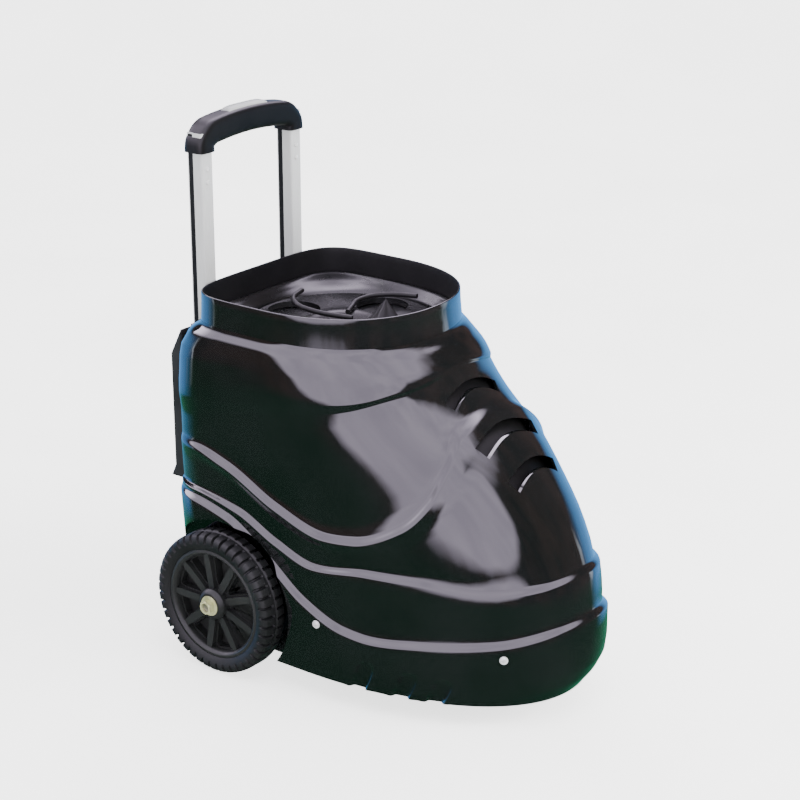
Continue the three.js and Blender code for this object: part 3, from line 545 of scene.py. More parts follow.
inner_t = column_shares(360)
inner_z = np.linspace(0, COLLAR_Z + 20, 120)[:, None] * np.ones_like(inner_t)
inwards = -WALL - flutes(np.where(inner_t > 1, 2 - inner_t, inner_t), inner_z)
hollow = stack("hollow", body_points(np.broadcast_to(inner_t, inner_z.shape), inner_z, inwards))
for side in (-1, 1):
    combine(shell, well(side, WELL_R, WELL_X))
    combine(hollow, well(side, WELL_R + 4, WELL_X - 4))
combine(shell, hollow)
combine(shell, slab("opening", (-111, 236, 0), (111, 330, 445)))
for side in (-1, 1):
    combine(shell, slab("notch", (side * 91 - 15, 247.3, 400), (side * 91 + 15, 330, 520)))
print("shell after hollowing:", len(shell.data.polygons), "faces")


# %% [markdown]
# Three crescent vents let the motors breathe through the hood. Each cutter is a crescent drawn between
# two arcs and carried along Y. A near-black sheet stands behind them as painted shade, so the slots look
# dark.

# %% Vents
def arc(half, ends, middle, count=25):
    """A shallow arc from -half to half: a parabola whose ends and middle pull are the given heights."""
    s = np.linspace(0, 1, count)
    x = half * (2 * s - 1)
    return np.stack([x, ends * ((1 - s) ** 2 + s**2) + middle * 2 * s * (1 - s)], 1)


def crescent(name, z, half, height, sag=16):
    """A crescent slot's solid, between an upper arc and a lower one that is a little shorter."""
    top = arc(half, z - sag, z + sag)
    low = arc(half - 8, z - sag - height, z + sag - height)[::-1]
    outline = np.vstack([top, low])
    ends = (-360.0, float(widest_y(z)) - 120)
    rings = [np.column_stack([outline[:, 0], np.full(len(outline), y), outline[:, 1]]) for y in ends]
    return stack(name, rings)


VENTS = [(424, 56, 11), (378, 64, 13), (338, 52, 13)]
for z, half, height in VENTS:
    combine(shell, crescent("vent", z, half, height))
for side in (-1, 1):
    combine(shell, disc("axle_hole", 9, side * 160, side * 120, (0, AXLE_Y, AXLE_Z), "x", 32))
finish_shading(shell, 35)
dress(shell, "chassis", "shell", "body_shell")

# %% Painted shade: a near-black sheet behind the vents
SHADE_SHEET_DEPTH, SHADE_SHEET_THICK = 9, 1.5


def vent_shade_sheet(name, low, high, reach):
    """A dark strip of painted shade set back inside the nose: an outer and an inner arc at each height,
    joined.
    """
    t = np.linspace(1 - reach, 1 + reach, 41)
    z = np.linspace(low, high, 25)[:, None] * np.ones_like(t)
    t = np.broadcast_to(t, z.shape)
    front = body_points(t, z, -WALL - SHADE_SHEET_DEPTH, lines=False)
    behind = body_points(t, z, -WALL - SHADE_SHEET_DEPTH - SHADE_SHEET_THICK, lines=False)
    return stack(name, np.concatenate([front, behind[:, ::-1]], axis=1))


# The near-black sheet is painted shade: it darkens the slots where the hollow behind them would lie in
# shadow.
dress(vent_shade_sheet("hood_vent_painted_shade", 300, 440, 0.2), "chassis", "rubber")


# %% [markdown]
# ## Hopper collar
#
# A thin sheet stands up from the shell and keeps the balls in. It follows the body's plan, without the
# moulded lines. The section goes up the outside, over a rounded edge and down the inside, and is
# carried round the plan.

# %% Collar
COLLAR_WALL = 2.5
collar_t = column_shares(360)
edge = COLLAR_WALL / 2
over = np.linspace(0, np.pi, 7)
collar_section = np.vstack([
    [[0, COLLAR_Z + 0.3], [0, 485], [0, 495], [0, 505]],
    np.stack([edge * np.cos(over) - edge, RIM_Z - edge + edge * np.sin(over)], 1),
    [[-COLLAR_WALL, 505], [-COLLAR_WALL, 495], [-COLLAR_WALL, 485], [-COLLAR_WALL, COLLAR_Z + 0.3]],
])
inset, collar_z = (np.broadcast_to(column[:, None], (len(collar_section), len(collar_t)))
                   for column in collar_section.T)
collar_rings = body_points(np.broadcast_to(collar_t, inset.shape), collar_z, inset, lines=False)
collar = dress(loop_of_rings("collar_sheet", collar_rings, 50), "chassis", "collar", "hopper_collar")
collar.data.materials.append(finishes["inside"])
facing, where = np.empty((2, len(collar.data.polygons), 3))
collar.data.polygons.foreach_get("normal", facing.ravel())
collar.data.polygons.foreach_get("center", where.ravel())
inner_faces = (facing * (where - where.mean(0)))[:, :2].sum(1) < -0.02
collar.data.polygons.foreach_set("material_index", inner_faces.astype(np.int32))
print("inner faces of the collar:", int(inner_faces.sum()))

# %% [markdown]
# ## Bowl
#
# Balls roll down a bowl that changes from the collar's outline at its top to a circle at its floor.
# Each ring is a mix of the two, and the share of the circle is a smooth curve against height.

# %% Bowl
FEED_Y, FLOOR_Z = 95, 455
POCKET_R, POCKET_RING, TURNTABLE_R = 36, 86, 128
BOWL_WALL, FLOOR_R = 3, 136
roundness = smooth([[451, 1], [457, 1], [464, 0.9], [473, 0.4], [481, 0]])


def bowl_rings(heights, extra, columns=240):
    """Rings that go from the collar's outline towards a circle about the feed's axis. A point is its
    outline's point times one less the roundness, plus the circle's point times the roundness."""
    t = column_shares(columns)
    z = np.array(heights, float)[:, None] * np.ones(columns)
    rim = body_points(t, np.full(columns, float(COLLAR_Z)), extra - WALL - 1, lines=False)[:, :2]
    ray = rim - (0, FEED_Y)
    circle = ray * ((FLOOR_R + extra) / np.hypot(*ray.T))[:, None] + (0, FEED_Y)
    part = roundness(z)[..., None]
    return np.concatenate([rim * (1 - part) + circle * part, z[..., None]], axis=-1)


bowl = stack("bowl_moulding", bowl_rings(np.linspace(FLOOR_Z - BOWL_WALL, 480, 30), 0), 40)
combine(bowl, stack("bowl_hollow", bowl_rings(np.linspace(FLOOR_Z, 481, 30), -BOWL_WALL)))
combine(bowl, disc("drop_hole", POCKET_R, 440, 470, (0, FEED_Y - POCKET_RING, 0), "z"))
combine(bowl, disc("shaft_hole", 5.6, 440, 470, (0, FEED_Y, 0), "z", 32))
finish_shading(bowl, 40)
dress(bowl, "chassis", "bowl", "hopper_bowl")

# %% [markdown]
# ## Turntable, cone and stirrer rods
#
# A disc with four pockets carries the balls round to the drop hole. A shallow ring stiffens it. A
# four-sided cone in the middle sheds the balls outwards, and two bent rods stir them.

# %% Turntable
DISC_Z, DISC_T = 457, 8
rings_across = np.linspace(8, TURNTABLE_R - 1.5, 160)
ripple = 0.8 * np.exp(-(((rings_across - 47) / 8) ** 2))
turntable_profile = np.vstack([
    [[0, 0]], [[TURNTABLE_R, 0], [TURNTABLE_R, DISC_T - 1.5], [TURNTABLE_R - 0.5, DISC_T - 0.4]],
    np.stack([rings_across, DISC_T + ripple], 1)[::-1], [[0, DISC_T]],
])
turntable_profile[:, 0] = np.maximum(turntable_profile[:, 0], 0.01)
turntable = turned("ball_turntable", turntable_profile, (0, FEED_Y, DISC_Z), "z", 128)
for x, y in ((1, 0), (0, 1), (-1, 0), (0, -1)):
    place = (x * POCKET_RING, FEED_Y + y * POCKET_RING, 0)
    combine(turntable, disc("pocket", POCKET_R, DISC_Z - 5, DISC_Z + 20, place, "z"))
finish_shading(turntable, 30)
dress(turntable, "turntable", "turntable", "feed_turntable")

# %% Cone
CONE_X, CONE_Y, CONE_Z = 38, 52, DISC_Z + DISC_T + 0.3
cone_height = np.linspace(0, 30, 31)
cone_radius = smooth([[0, 23], [3, 21.5], [14, 12.5], [25, 3.6], [30, 0.4]])
around = np.linspace(0, 2 * np.pi, 96, endpoint=False)
corner = np.abs(np.sin(2 * (around - radians(8)))) ** 1.5
square = 1 - 0.24 * corner * np.clip(cone_height / 5, 0, 1)[:, None]
cone_rings = np.stack([
    CONE_X + cone_radius(cone_height)[:, None] * square * np.cos(around),
    CONE_Y + cone_radius(cone_height)[:, None] * square * np.sin(around),
    np.broadcast_to(CONE_Z + cone_height[:, None], square.shape),
], axis=-1)
dress(stack("ball_shedder", cone_rings, 50), "turntable", "rubber", "deflector_cone")


# %% Stirrer rods
def through(points, count):
    """A smooth path through points: each coordinate is a curve over the length along the chords."""
    points = np.array(points, float)
    at = np.hstack([0, np.cumsum(np.linalg.norm(np.diff(points, axis=0), axis=1))])
    fine = np.linspace(0, at[-1], count)
    slopes = np.gradient(points, at, axis=0)
    i = np.clip(np.searchsorted(at, fine), 1, len(at) - 1)
    span = (at[i] - at[i - 1])[:, None]
    s = ((fine - at[i - 1]) / (at[i] - at[i - 1]))[:, None]
    start = (1 + 2 * s) * (1 - s) ** 2 * points[i - 1] + s * (1 - s) ** 2 * span * slopes[i - 1]
    return start + s * s * (3 - 2 * s) * points[i] + s * s * (s - 1) * span * slopes[i]


DISC_TOP, ROD_R = DISC_Z + DISC_T, 3.5
RODS = {
    "a": [(27, 189, 19), (-4, 179, 17), (-20, 154, 14), (-14, 126, 9), (0, 100, 5), (6, 84, 4.4)],
    "b": [(22, 105, 4.4), (42, 114, 5), (64, 122, 7), (86, 114, 10), (98, 93, 13), (104, 69, 15),
          (107, 51, 16)],
}
for name, points in RODS.items():
    path = through(np.array(points, float) + (0, 0, DISC_TOP), 70)
    rod = swept(f"stirrer_{name}", path, superellipse(ROD_R, ROD_R, 2, 20), (0, 0, 1), 60)
    dress(rod, "turntable", "rubber", f"stirrer_rod_{name}")

# %% [markdown]
# ## Wheels
#
# The tyres are solid rubber with a row of blocks on each shoulder, set half a block apart. The tread is
# one closed surface: a profile carried round the axle, with the blocks made by lowering the surface
# between them. This costs far fewer faces than cutting every groove.

# %% Tyres
BLOCKS = 44
tyre_half_profile = smooth([[-1, 78], [-0.9, 84], [-0.78, 90.5], [-0.66, 96.5], [-0.52, 99], [-0.3, 100],
                            [0.3, 100], [0.52, 99], [0.66, 96.5], [0.78, 90.5], [0.9, 84], [1, 78]])
tyre_across = smooth([[-1, -16.5], [-0.9, -19.5], [-0.78, -20.8], [-0.66, -19], [-0.52, -16], [-0.3, -9],
                      [0.3, 9], [0.52, 16], [0.66, 19], [0.78, 20.8], [0.9, 19.5], [1, 16.5]])


def tyre_rings(side):
    """The tyre's surface over angle and a parameter v across it. The radius is the profile's less a
    groove depth, which is eased to full between blocks, with the two rows half a block apart."""
    angle = np.linspace(0, 2 * np.pi, BLOCKS * 18, endpoint=False)[:, None]
    v = np.linspace(-1, 1, 49)[None, :]
    turn = angle * BLOCKS / (2 * np.pi) + np.where(v > 0, 0.5, 0)
    wave = np.abs((turn % 1) - 0.5) * 2
    groove = ease((wave - 0.7) / 0.12) * ease((0.86 - np.abs(v)) / 0.1) * ease((np.abs(v) - 0.09) / 0.08)
    middle = 1 - ease((np.abs(v) - 0.04) / 0.07)
    radius = tyre_half_profile(v) - 4.2 * np.maximum(groove, 0.55 * middle)
    across = tyre_across(v) * (1 - 0.09 * groove)
    inner = np.linspace(1, -1, 7)[1:-1][None, :]
    radius = np.hstack([radius, np.full((len(angle), 5), 77.8)])
    across = np.hstack([across + 0 * angle, 16.5 * inner + 0 * angle])
    return np.stack([
        side * (WHEEL_X + across), AXLE_Y + radius * np.cos(angle), AXLE_Z + radius * np.sin(angle),
    ], axis=-1)


# %% [markdown]
# The wheel is a stiff plastic moulding with nine spokes. Rounded wedges sink into it between the
# spokes, nearly through, and a raised bar stiffens each spoke. All nine wedges are cut in one go.

# %% Wheels
SPOKES, HUB_R = 9, 22


def wedge(low, high, spoke, corner=5, count=10):
    """The outline of one opening between two spokes, which are as wide as spoke at every radius. It has
    a corner at each end of its two arcs, and each corner is replaced by a quarter circle."""
    half = np.pi / SPOKES
    inner, outer = half - np.arcsin(spoke / 2 / low), half - np.arcsin(spoke / 2 / high)
    corners = np.array([[low, -inner], [high, -outer], [high, outer], [low, inner]])
    place = np.stack([corners[:, 0] * np.cos(corners[:, 1]), corners[:, 0] * np.sin(corners[:, 1])], 1)
    s = np.linspace(0, 1, count)[None, :, None]
    toward_last = np.roll(place, 1, 0) - place
    toward_next = np.roll(place, -1, 0) - place
    a = place + corner * toward_last / np.linalg.norm(toward_last, axis=1, keepdims=True)
    b = place + corner * toward_next / np.linalg.norm(toward_next, axis=1, keepdims=True)
    a, b, middle = a[:, None], b[:, None], place[:, None]
    bend = a * (1 - s) ** 2 + middle * 2 * s * (1 - s) + b * s**2
    outline = bend.reshape(-1, 2)
    far = outline[:, 0] > (low + high) / 2
    swell = np.where(far, (high - place[1, 0]) * (1 - (outline[:, 1] / place[2, 1]) ** 2), 0)
    return outline + np.stack([swell, np.zeros(len(outline))], 1)


def prisms(name, outline, low, high, side, shift=0.5):
    """One mesh of nine closed prisms: the outline turned to each gap, or to each spoke where shift is 0,
    and carried along the axle."""
    turns = 2 * np.pi * (np.arange(SPOKES) + shift) / SPOKES
    c, s = np.cos(turns)[:, None], np.sin(turns)[:, None]
    y = outline[:, 0] * c - outline[:, 1] * s
    z = outline[:, 0] * s + outline[:, 1] * c
    n = len(outline)
    points, quads, fans = [], [], []
    for k in range(SPOKES):
        flat = np.column_stack([y[k] + AXLE_Y, z[k] + AXLE_Z])
        for x in (low, high):
            points.append(np.column_stack([np.full(n, side * x), flat]))
        points.append([[side * low, *flat.mean(0)], [side * high, *flat.mean(0)]])
        first = k * (2 * n + 2)
        here, after = first + np.arange(n), first + (np.arange(n) + 1) % n
        quads.append(np.stack([here, after, after + n, here + n], 1))
        fans.append(np.stack([after, here, np.full(n, first + 2 * n)], 1))
        fans.append(np.stack([here + n, after + n, np.full(n, first + 2 * n + 1)], 1))
    return new_piece(name, np.vstack(points), np.vstack(quads), np.vstack(fans))


def turned_at(name, profile, side, sides=96, sharp=35):
    """A profile turned about the axle, with its heights measured outwards from the wheel's middle."""
    flipped = [(radius, side * height) for radius, height in profile]
    return turned(name, flipped, (side * WHEEL_X, AXLE_Y, AXLE_Z), "x", sides, sharp)


RIM = [(69.5, -13), (71, -15.5), (77.6, -16), (77.6, 16), (74, 17), (71.5, 15.5), (69.5, 12)]
WEB = [(12, -8), (71, -8), (71, 5), (24, 7), (12, 7)]
HUB = [(6.6, -20), (HUB_R - 2, -20), (HUB_R, -18), (HUB_R, 17), (HUB_R - 2.5, 20.5), (HUB_R - 5, 22),
       (6.6, 22)]
SPOKE = superellipse(26, 5.2, 5, 40) + (45, 0)
POCKET_FLOOR = WHEEL_X - 6
for side, name in ((-1, "left"), (1, "right")):
    tyre = loop_of_rings(f"treaded_tyre_{name}", tyre_rings(side), 45)
    dress(tyre, f"wheel_{name}", "tyre", f"tyre_{name}")
    ring = turned_at(f"spoked_wheel_{name}", RIM, side, 128)
    combine(ring, turned_at("web", WEB, side), "UNION")
    combine(ring, prisms("pockets", wedge(27, 67.5, 14), POCKET_FLOOR, WHEEL_X + 30, side))
    combine(ring, prisms("bars", SPOKE, POCKET_FLOOR, WHEEL_X + 13, side, 0), "UNION")
    combine(ring, turned_at("hub", HUB, side, 64), "UNION")
    finish_shading(ring, 30)
    soft = ring.modifiers.new("soft edges", "BEVEL")
    soft.width, soft.segments, soft.angle_limit = 1.0 * MM, 2, radians(50)
    dress(ring, f"wheel_{name}", "wheel", f"wheel_{name}")

# %% [markdown]
# A plated washer and a nut hold each wheel on its axle. The nut is a hexagon whose corners are taken
# off by a cone, as they are when a real nut is machined, and the axle's end shows in it.


# %% Washers and nuts
def nut_rings(side):
    """Rings of a six-sided nut, outwards along the axle. Its radius at an angle is the hexagon's, but no
    more than a cone's, which cuts the corners off at both ends."""
    angle = np.linspace(0, 2 * np.pi, 72, endpoint=False)[None, :]
    height = np.array([0, 0.7, 1.4, 6.6, 7.3, 8.0])[:, None]
    hexagon = 8.66 / np.cos((angle + np.pi / 6) % (np.pi / 3) - np.pi / 6)
    cone = 8.5 + 1.3 * np.minimum(height, 8 - height) / 0.8
    radius = np.minimum(hexagon, cone)
    x = side * (WHEEL_X + 24.1 + height) + 0 * angle
    return np.stack([x, AXLE_Y + radius * np.cos(angle), AXLE_Z + radius * np.sin(angle)], axis=-1)


for side, name in ((-1, "left"), (1, "right")):
    washer = [(6.4, 22.3), (13.6, 22.3), (14.2, 22.7), (13.8, 23.8), (6.4, 23.8)]
    dress(turned_at(f"plated_washer_{name}", washer, side), f"wheel_{name}", "zinc", f"hub_washer_{name}")
    nut = stack(f"plated_nut_{name}", nut_rings(side), 25)
    low, high = sorted((side * 190, side * 230))
    combine(nut, disc("thread", 6.4, low, high, (0, AXLE_Y, AXLE_Z), "x", 48))
    finish_shading(nut, 25)
    dress(nut, f"wheel_{name}", "zinc", f"axle_nut_{name}")

# %% [markdown]
# ## Trolley handle
#
# Two drawn aluminium tubes slide in sleeves behind the shell. Each has rounded corners and a shallow
# channel down its sides, and a near-black strip in the channel is painted shade. The tube's section is a
# superellipse with the channel pressed into it.

# %% Tubes
TUBE_X, TUBE_Y = 91, 262
TUBE_W, TUBE_D = 22, 26
TUBE_LOW, TUBE_TOP = 250, 716


def tube_section(shrink=0.0, count=120):
    """A squared tube's section, with a channel pressed into both sides, behind its middle."""
    section = superellipse(TUBE_W / 2 - shrink, TUBE_D / 2 - shrink, 9, count)
    press = 1.5 * ease((4.6 - np.abs(section[:, 1] - 7.0)) / 1.2)
    side = np.abs(section[:, 0]) > TUBE_W / 2 - shrink - 1.5
    section[:, 0] -= np.sign(section[:, 0]) * np.where(side, press, 0)
    return section


for side, name in ((-1, "left"), (1, "right")):
    levels = [TUBE_LOW, 400, 600, TUBE_TOP]
    outside = [np.column_stack([tube_section() + (side * TUBE_X, TUBE_Y), np.full(120, z)]) for z in levels]
    inside = [np.column_stack([tube_section(1.6) + (side * TUBE_X, TUBE_Y), np.full(120, z)])
              for z in levels[::-1]]
    tube = loop_of_rings(f"drawn_tube_{name}", np.array(outside + inside, float), 40)
    dress(tube, "handle", "tube", f"handle_tube_{name}")
    # Painted shade: a near-black strip lies in each channel and stands for the channel's shadow.
    for face in (-1, 1):
        x = sorted(side * TUBE_X + face * (TUBE_W / 2 - depth) for depth in (1.5, 0.5))
        shade_strip = f"channel_painted_shade_{name}_{'in' if face * side < 0 else 'out'}"
        low, high = (x[0], TUBE_Y + 3.8, TUBE_LOW + 2), (x[1], TUBE_Y + 10.4, TUBE_TOP - 2)
        dress(slab(shade_strip, low, high), "handle", "rubber")

# %% [markdown]
# The grip is one moulding that goes up over both tubes. It is a softly squared section carried along a
# path with two rounded corners, and a slot in its top takes the release button.

# %% Grip
GRIP_TOP, GRIP_BOTTOM = 735, 690


def grip_path(count=14):
    """The middle line of the grip: up from one tube, round a quarter circle, across and down again. The
    bar across is arched, by an amount that falls with the square of the distance from its middle."""
    corner, level = 20.0, GRIP_TOP - 16.9
    turn = np.linspace(0, np.pi / 2, count)
    rise = np.stack([np.full(4, -TUBE_X), np.linspace(GRIP_BOTTOM, level - corner, 4)], 1)
    bend = np.stack([-TUBE_X + corner * (1 - np.cos(turn)), level - corner + corner * np.sin(turn)], 1)
    across = np.stack([np.linspace(-TUBE_X + corner, 0, 12), np.full(12, level)], 1)
    left = np.vstack([rise[:-1], bend, across[1:]])
    right = left[:-1][::-1] * (-1, 1)
    line = np.vstack([left, right])
    arch = ease((line[:, 1] - GRIP_BOTTOM - 6) / 20)
    line[:, 1] += arch * (2.4 - 8.5 * (line[:, 0] / TUBE_X) ** 2)
    return np.column_stack([line[:, 0], np.full(len(line), float(TUBE_Y)), line[:, 1]])


def grip_rings(sides=64):
    """The grip's section, a superellipse, carried square to its path. It swells a little at the legs'
    ends, and the bar across is thicker than the legs."""
    path = grip_path()
    ahead = np.gradient(path, axis=0)
    ahead /= np.linalg.norm(ahead, axis=1, keepdims=True)
    out = np.stack([-ahead[:, 2], np.zeros(len(path)), ahead[:, 0]], 1)
    section = superellipse(1, 1, 5, sides)
    leg = ease((GRIP_BOTTOM + 16 - path[:, 2]) / 16)
    half_out = 14.6 + 0.4 * leg + 2.4 * ease((path[:, 2] - GRIP_BOTTOM - 10) / 18)
    half_deep = 16.4 + 0.6 * leg
    offset = section[None, :, 0, None] * half_out[:, None, None] * out[:, None]
    offset = offset + section[None, :, 1, None] * half_deep[:, None, None] * np.array([0, 1.0, 0])
    return path[:, None] + offset


grip = stack("grip_moulding", grip_rings(), 45)
slot_low, slot_high = (-40.3, TUBE_Y - 9.3, GRIP_TOP - 14), (40.3, TUBE_Y + 9.3, GRIP_TOP + 9)
combine(grip, slab("button_slot", slot_low, slot_high))
for x in (-TUBE_X, TUBE_X):
    low, high = (x - 11.2, TUBE_Y - 13.2, GRIP_BOTTOM - 9), (x + 11.2, TUBE_Y + 13.2, GRIP_BOTTOM + 8)
    combine(grip, slab("socket", low, high))
finish_shading(grip, 40)
dress(grip, "handle", "grip", "handle_grip")

# %% Release button
BUTTON_TOP, BUTTON_HALF = 741, 40
button_x = BUTTON_HALF * np.sin(np.linspace(-np.pi / 2, np.pi / 2, 41))
fullness = np.clip(1 - (np.abs(button_x) / BUTTON_HALF) ** 5, 0.02, 1) ** 0.45
button_section = superellipse(1, 1, 3.2, 40)
button_rings = np.stack([
    np.broadcast_to(button_x[:, None], (41, 40)),
    TUBE_Y + 9 * (0.82 + 0.18 * fullness[:, None]) * button_section[None, :, 0],
    BUTTON_TOP - 7 + 7 * fullness[:, None] * button_section[None, :, 1],
], axis=-1)
dress(stack("release_button", button_rings, 50), "grip_button", "button", "grip_button")


# %% [markdown]
# ## Rivets and screws
#
# Two rivets fix the grip to the front of each tube, and four pan-head screws hold the shell to its
# tray. Both are small domes turned about the direction they are driven in. A screw's cross is cut by
# two narrow bars.

# %% Rivets and screws
def domed(name, radius, height, centre, direction, sink=0.4, sides=40):
    """A dome whose height falls from the middle as a quarter of an ellipse, on a short straight foot."""
    direction = np.array(direction, float) / np.linalg.norm(direction)
    first = np.cross(direction, (0, 0, 1.0))
    first /= np.linalg.norm(first)
    second = np.cross(direction, first)
    lean = np.linspace(0, np.pi / 2 * 0.96, 9)
    reach = np.concatenate([[radius, radius], radius * np.cos(lean)[1:]])
    rise = np.concatenate([[-sink, 0.25 * height], 0.25 * height + 0.75 * height * np.sin(lean)[1:]])
    angle = np.linspace(0, 2 * np.pi, sides, endpoint=False)
    flat = np.cos(angle)[:, None] * first + np.sin(angle)[:, None] * second
    rings = np.array(centre, float) + reach[:, None, None] * flat + rise[:, None, None] * direction
    return stack(name, rings, 50), first, second, direction


def bar_cutter(centre, along, across, up, length, width, depth):
    """A narrow closed bar, standing on up, that cuts one arm of a cross-shaped recess."""
    corners = [(-1, -1), (1, -1), (1, 1), (-1, 1)]
    ring = np.array([a * length / 2 * along + b * width / 2 * across for a, b in corners])
    return stack("arm", np.array([ring + centre + h * up for h in (depth, 8.0)]))


for side, name in ((-1, "left"), (1, "right")):
    for z in (668, 650):
        seat = (side * TUBE_X, TUBE_Y - TUBE_D / 2, z)
        dress(domed(f"rivet_{name}_{z}", 3.6, 1.5, seat, (0, -1, 0))[0], "handle", "screw")

SCREWS = [(0.52, 108, "side_left"), (0.85, 106, "nose_left"), (1.15, 106, "nose_right"),
          (1.48, 108, "side_right")]  # share round and height of each
for t, z, name in SCREWS:
    t, z = np.array(t), np.array(float(z))
    seat = body_points(t, z)
    head, first, second, out = domed(f"pan_screw_{name}", 5.5, 3.2, seat, body_points(t, z, 1.0) - seat, 1.0)
    for a, b in ((first, second), (second, first)):
        combine(head, bar_cutter(seat, a, b, out, 5.6, 1.1, 1.9))
    finish_shading(head, 40)
    dress(head, "chassis", "screw", f"shell_screw_{name}")

# %% [markdown]
# ## Parts that keep their imported shape
#
# Most inner parts and the flat rear fittings already have their true shape. They keep it, with a finish
# of their own, and a Bevel modifier takes the knife edge off the listed ones as a mould or a file would.
# The imported mesh is loose triangles, so a Weld modifier joins them first.

# %% Softened edges and finishes on the imported parts
EDGES = {"outlet_housing": 2.4, "outlet_frame": 1.6, "rear_panel": 1.0, "control_plate": 0.8,
         "display_lens": 0.5, "power_rocker": 0.7, "speed_button": 1.0, "feed_button": 1.0,
         "angle_button": 1.0, "timing_knob": 0.9, "charge_socket": 0.8, "battery": 2.0,
         "tube_sleeve_left": 0.5, "tube_sleeve_right": 0.5}
slots = {part["node"]: part["material_slot"] for part in record["subparts"]}
kept = {name: node for name, node in frame["nodes"].items() if not node.hide_render}
for name, node in kept.items():
    node.data.materials.clear()
    node.data.materials.append(finishes[slots[name]])
    if name in EDGES:
        weld = node.modifiers.new("weld", "WELD")
        weld.merge_threshold = 0.00001
        soft = node.modifiers.new("soft edges", "BEVEL")
        soft.width, soft.segments, soft.angle_limit = EDGES[name] * MM, 3, radians(35)
print("packed parts that stay:", len(kept), ", ".join(sorted(kept)))

# %% [markdown]
# ## Floor and light
#
# The machine stands on a plain pale floor that curves up far behind it, so no horizon shows. Black
# gloss shows little of its own colour. What gives it shape is what it mirrors: a wide pale sky on its
# left and overhead, a dark band near the horizon, blue behind and dark ground below. The world is built
# that way for mirrored rays, and stays an even pale grey for the rest, so the world is never picked as
# a lamp, and a mirrored ray always meets the surroundings meant for it.

# %% Floor
SHEET_SPAN, SHEET_ROW = 7000, 15
rise = np.linspace(0.1, np.pi / 2, 14)
floor_y = np.concatenate([[-6, -3, 0, 2.5], 2.5 + 2.5 * np.sin(rise), [5.0]]) * 1000
floor_z = np.concatenate([[0, 0, 0, 0], 2.5 - 2.5 * np.cos(rise), [6.0]]) * 1000
grid_x, grid_y = np.meshgrid(np.linspace(-SHEET_SPAN, SHEET_SPAN, SHEET_ROW), floor_y)
floor_points = np.stack([
    grid_x * cos(AZIMUTH) - grid_y * sin(AZIMUTH), grid_x * sin(AZIMUTH) + grid_y * cos(AZIMUTH),
    np.broadcast_to(floor_z[:, None], grid_x.shape) - 0.4,
], axis=-1)
row, column = np.meshgrid(np.arange(len(floor_y) - 1), np.arange(SHEET_ROW - 1), indexing="ij")
corner = row * SHEET_ROW + column
floor_quads = np.stack([corner, corner + 1, corner + SHEET_ROW + 1, corner + SHEET_ROW], axis=-1)
floor = new_piece("studio_floor", floor_points.reshape(-1, 3), floor_quads)
floor_material, floor_tree, floor_shader = node_tree("pale_floor")
pale = two_colours(floor_tree, noise(floor_tree, 3), (0.80, 0.80, 0.80), (0.83, 0.83, 0.83))
floor_tree.links.new(pale, floor_shader.inputs["Base Color"])
set_inputs(floor_shader, Roughness=0.9, Specular_IOR_Level=0.1, Emission_Strength=2.6)
floor_tree.links.new(pale, floor_shader.inputs["Emission Color"])
floor.data.materials.append(floor_material)
floor.visible_glossy = False

# %% World: where the sky begins
# The sky's lower edge, as the upright part of a direction, against its bearing: -180 to 180 degrees
# from the nose's side, with the machine's left at -90.
SKY_EDGE = [(-180, 0.22), (-135, 0.24), (-120, 0.08), (-108, -0.18), (-92, -0.23), (-74, -0.19), (-58, -0.17),
            (-44, -0.08), (-30, 0.2), (-14, 0.62), (60, 0.84), (100, 0.5), (130, 0.26), (180, 0.22)]
LAVENDER, NIGHT = (0.80, 0.72, 0.88), (0.010, 0.008, 0.009)
GROUND, BLUE = (0.0015, 0.020, 0.009), (0.07, 0.22, 0.48)
MIRRORED, EVEN, BACKDROP = 3.0, 1.5, 2.4
world = bpy.data.worlds.new("studio")
bpy.context.scene.world = world
world.use_nodes = True
world.cycles.sampling_method = "NONE"
sky = world.node_tree
sky.nodes.clear()
direction = sky.nodes.new("ShaderNodeTexCoord").outputs["Generated"]
split = sky.nodes.new("ShaderNodeSeparateXYZ")
sky.links.new(direction, split.inputs[0])


def calculate(operation, first, second):
    """A Math node on two values, each a socket or a number."""
    node = sky.nodes.new("ShaderNodeMath")
    node.operation = operation
    for socket, value in zip(node.inputs, (first, second)):
        if isinstance(value, (int, float)):
            socket.default_value = value
        else:
            sky.links.new(value, socket)
    return node.outputs["Value"]


def blend_colours(share, first, second):
    """A colour that goes from first to second as share goes from 0 to 1. Each is a socket or a colour."""
    mix = sky.nodes.new("ShaderNodeMix")
    mix.data_type = "RGBA"
    sky.links.new(share, mix.inputs["Factor"])
    for socket, value in ((mix.inputs[6], first), (mix.inputs[7], second)):
        if isinstance(value, tuple):
            socket.default_value = (*value, 1)
        else:
            sky.links.new(value, socket)
    return mix.outputs[2]


upright = split.outputs["Z"]
bearing = calculate("ARCTAN2", split.outputs["X"], calculate("MULTIPLY", split.outputs["Y"], -1.0))
edge_ramp = sky.nodes.new("ShaderNodeValToRGB").color_ramp
edge_ramp.interpolation = "B_SPLINE"
ramp_places = [((bearing_deg + 180) / 360, 0.5 + edge / 2) for bearing_deg, edge in SKY_EDGE]
stops = [*edge_ramp.elements] + [edge_ramp.elements.new(0.5) for _ in SKY_EDGE[2:]]
for element, (place, value) in zip(stops, ramp_places[:1] + ramp_places[-1:] + ramp_places[1:-1]):
    element.position = place
    element.color = (value, value, value, 1)
edge_node = sky.nodes[-1]
sky.links.new(between(sky, bearing, 0, 1, -np.pi, np.pi), edge_node.inputs["Fac"])
sky_edge = between(sky, edge_node.outputs["Color"], -1, 1, 0, 1)

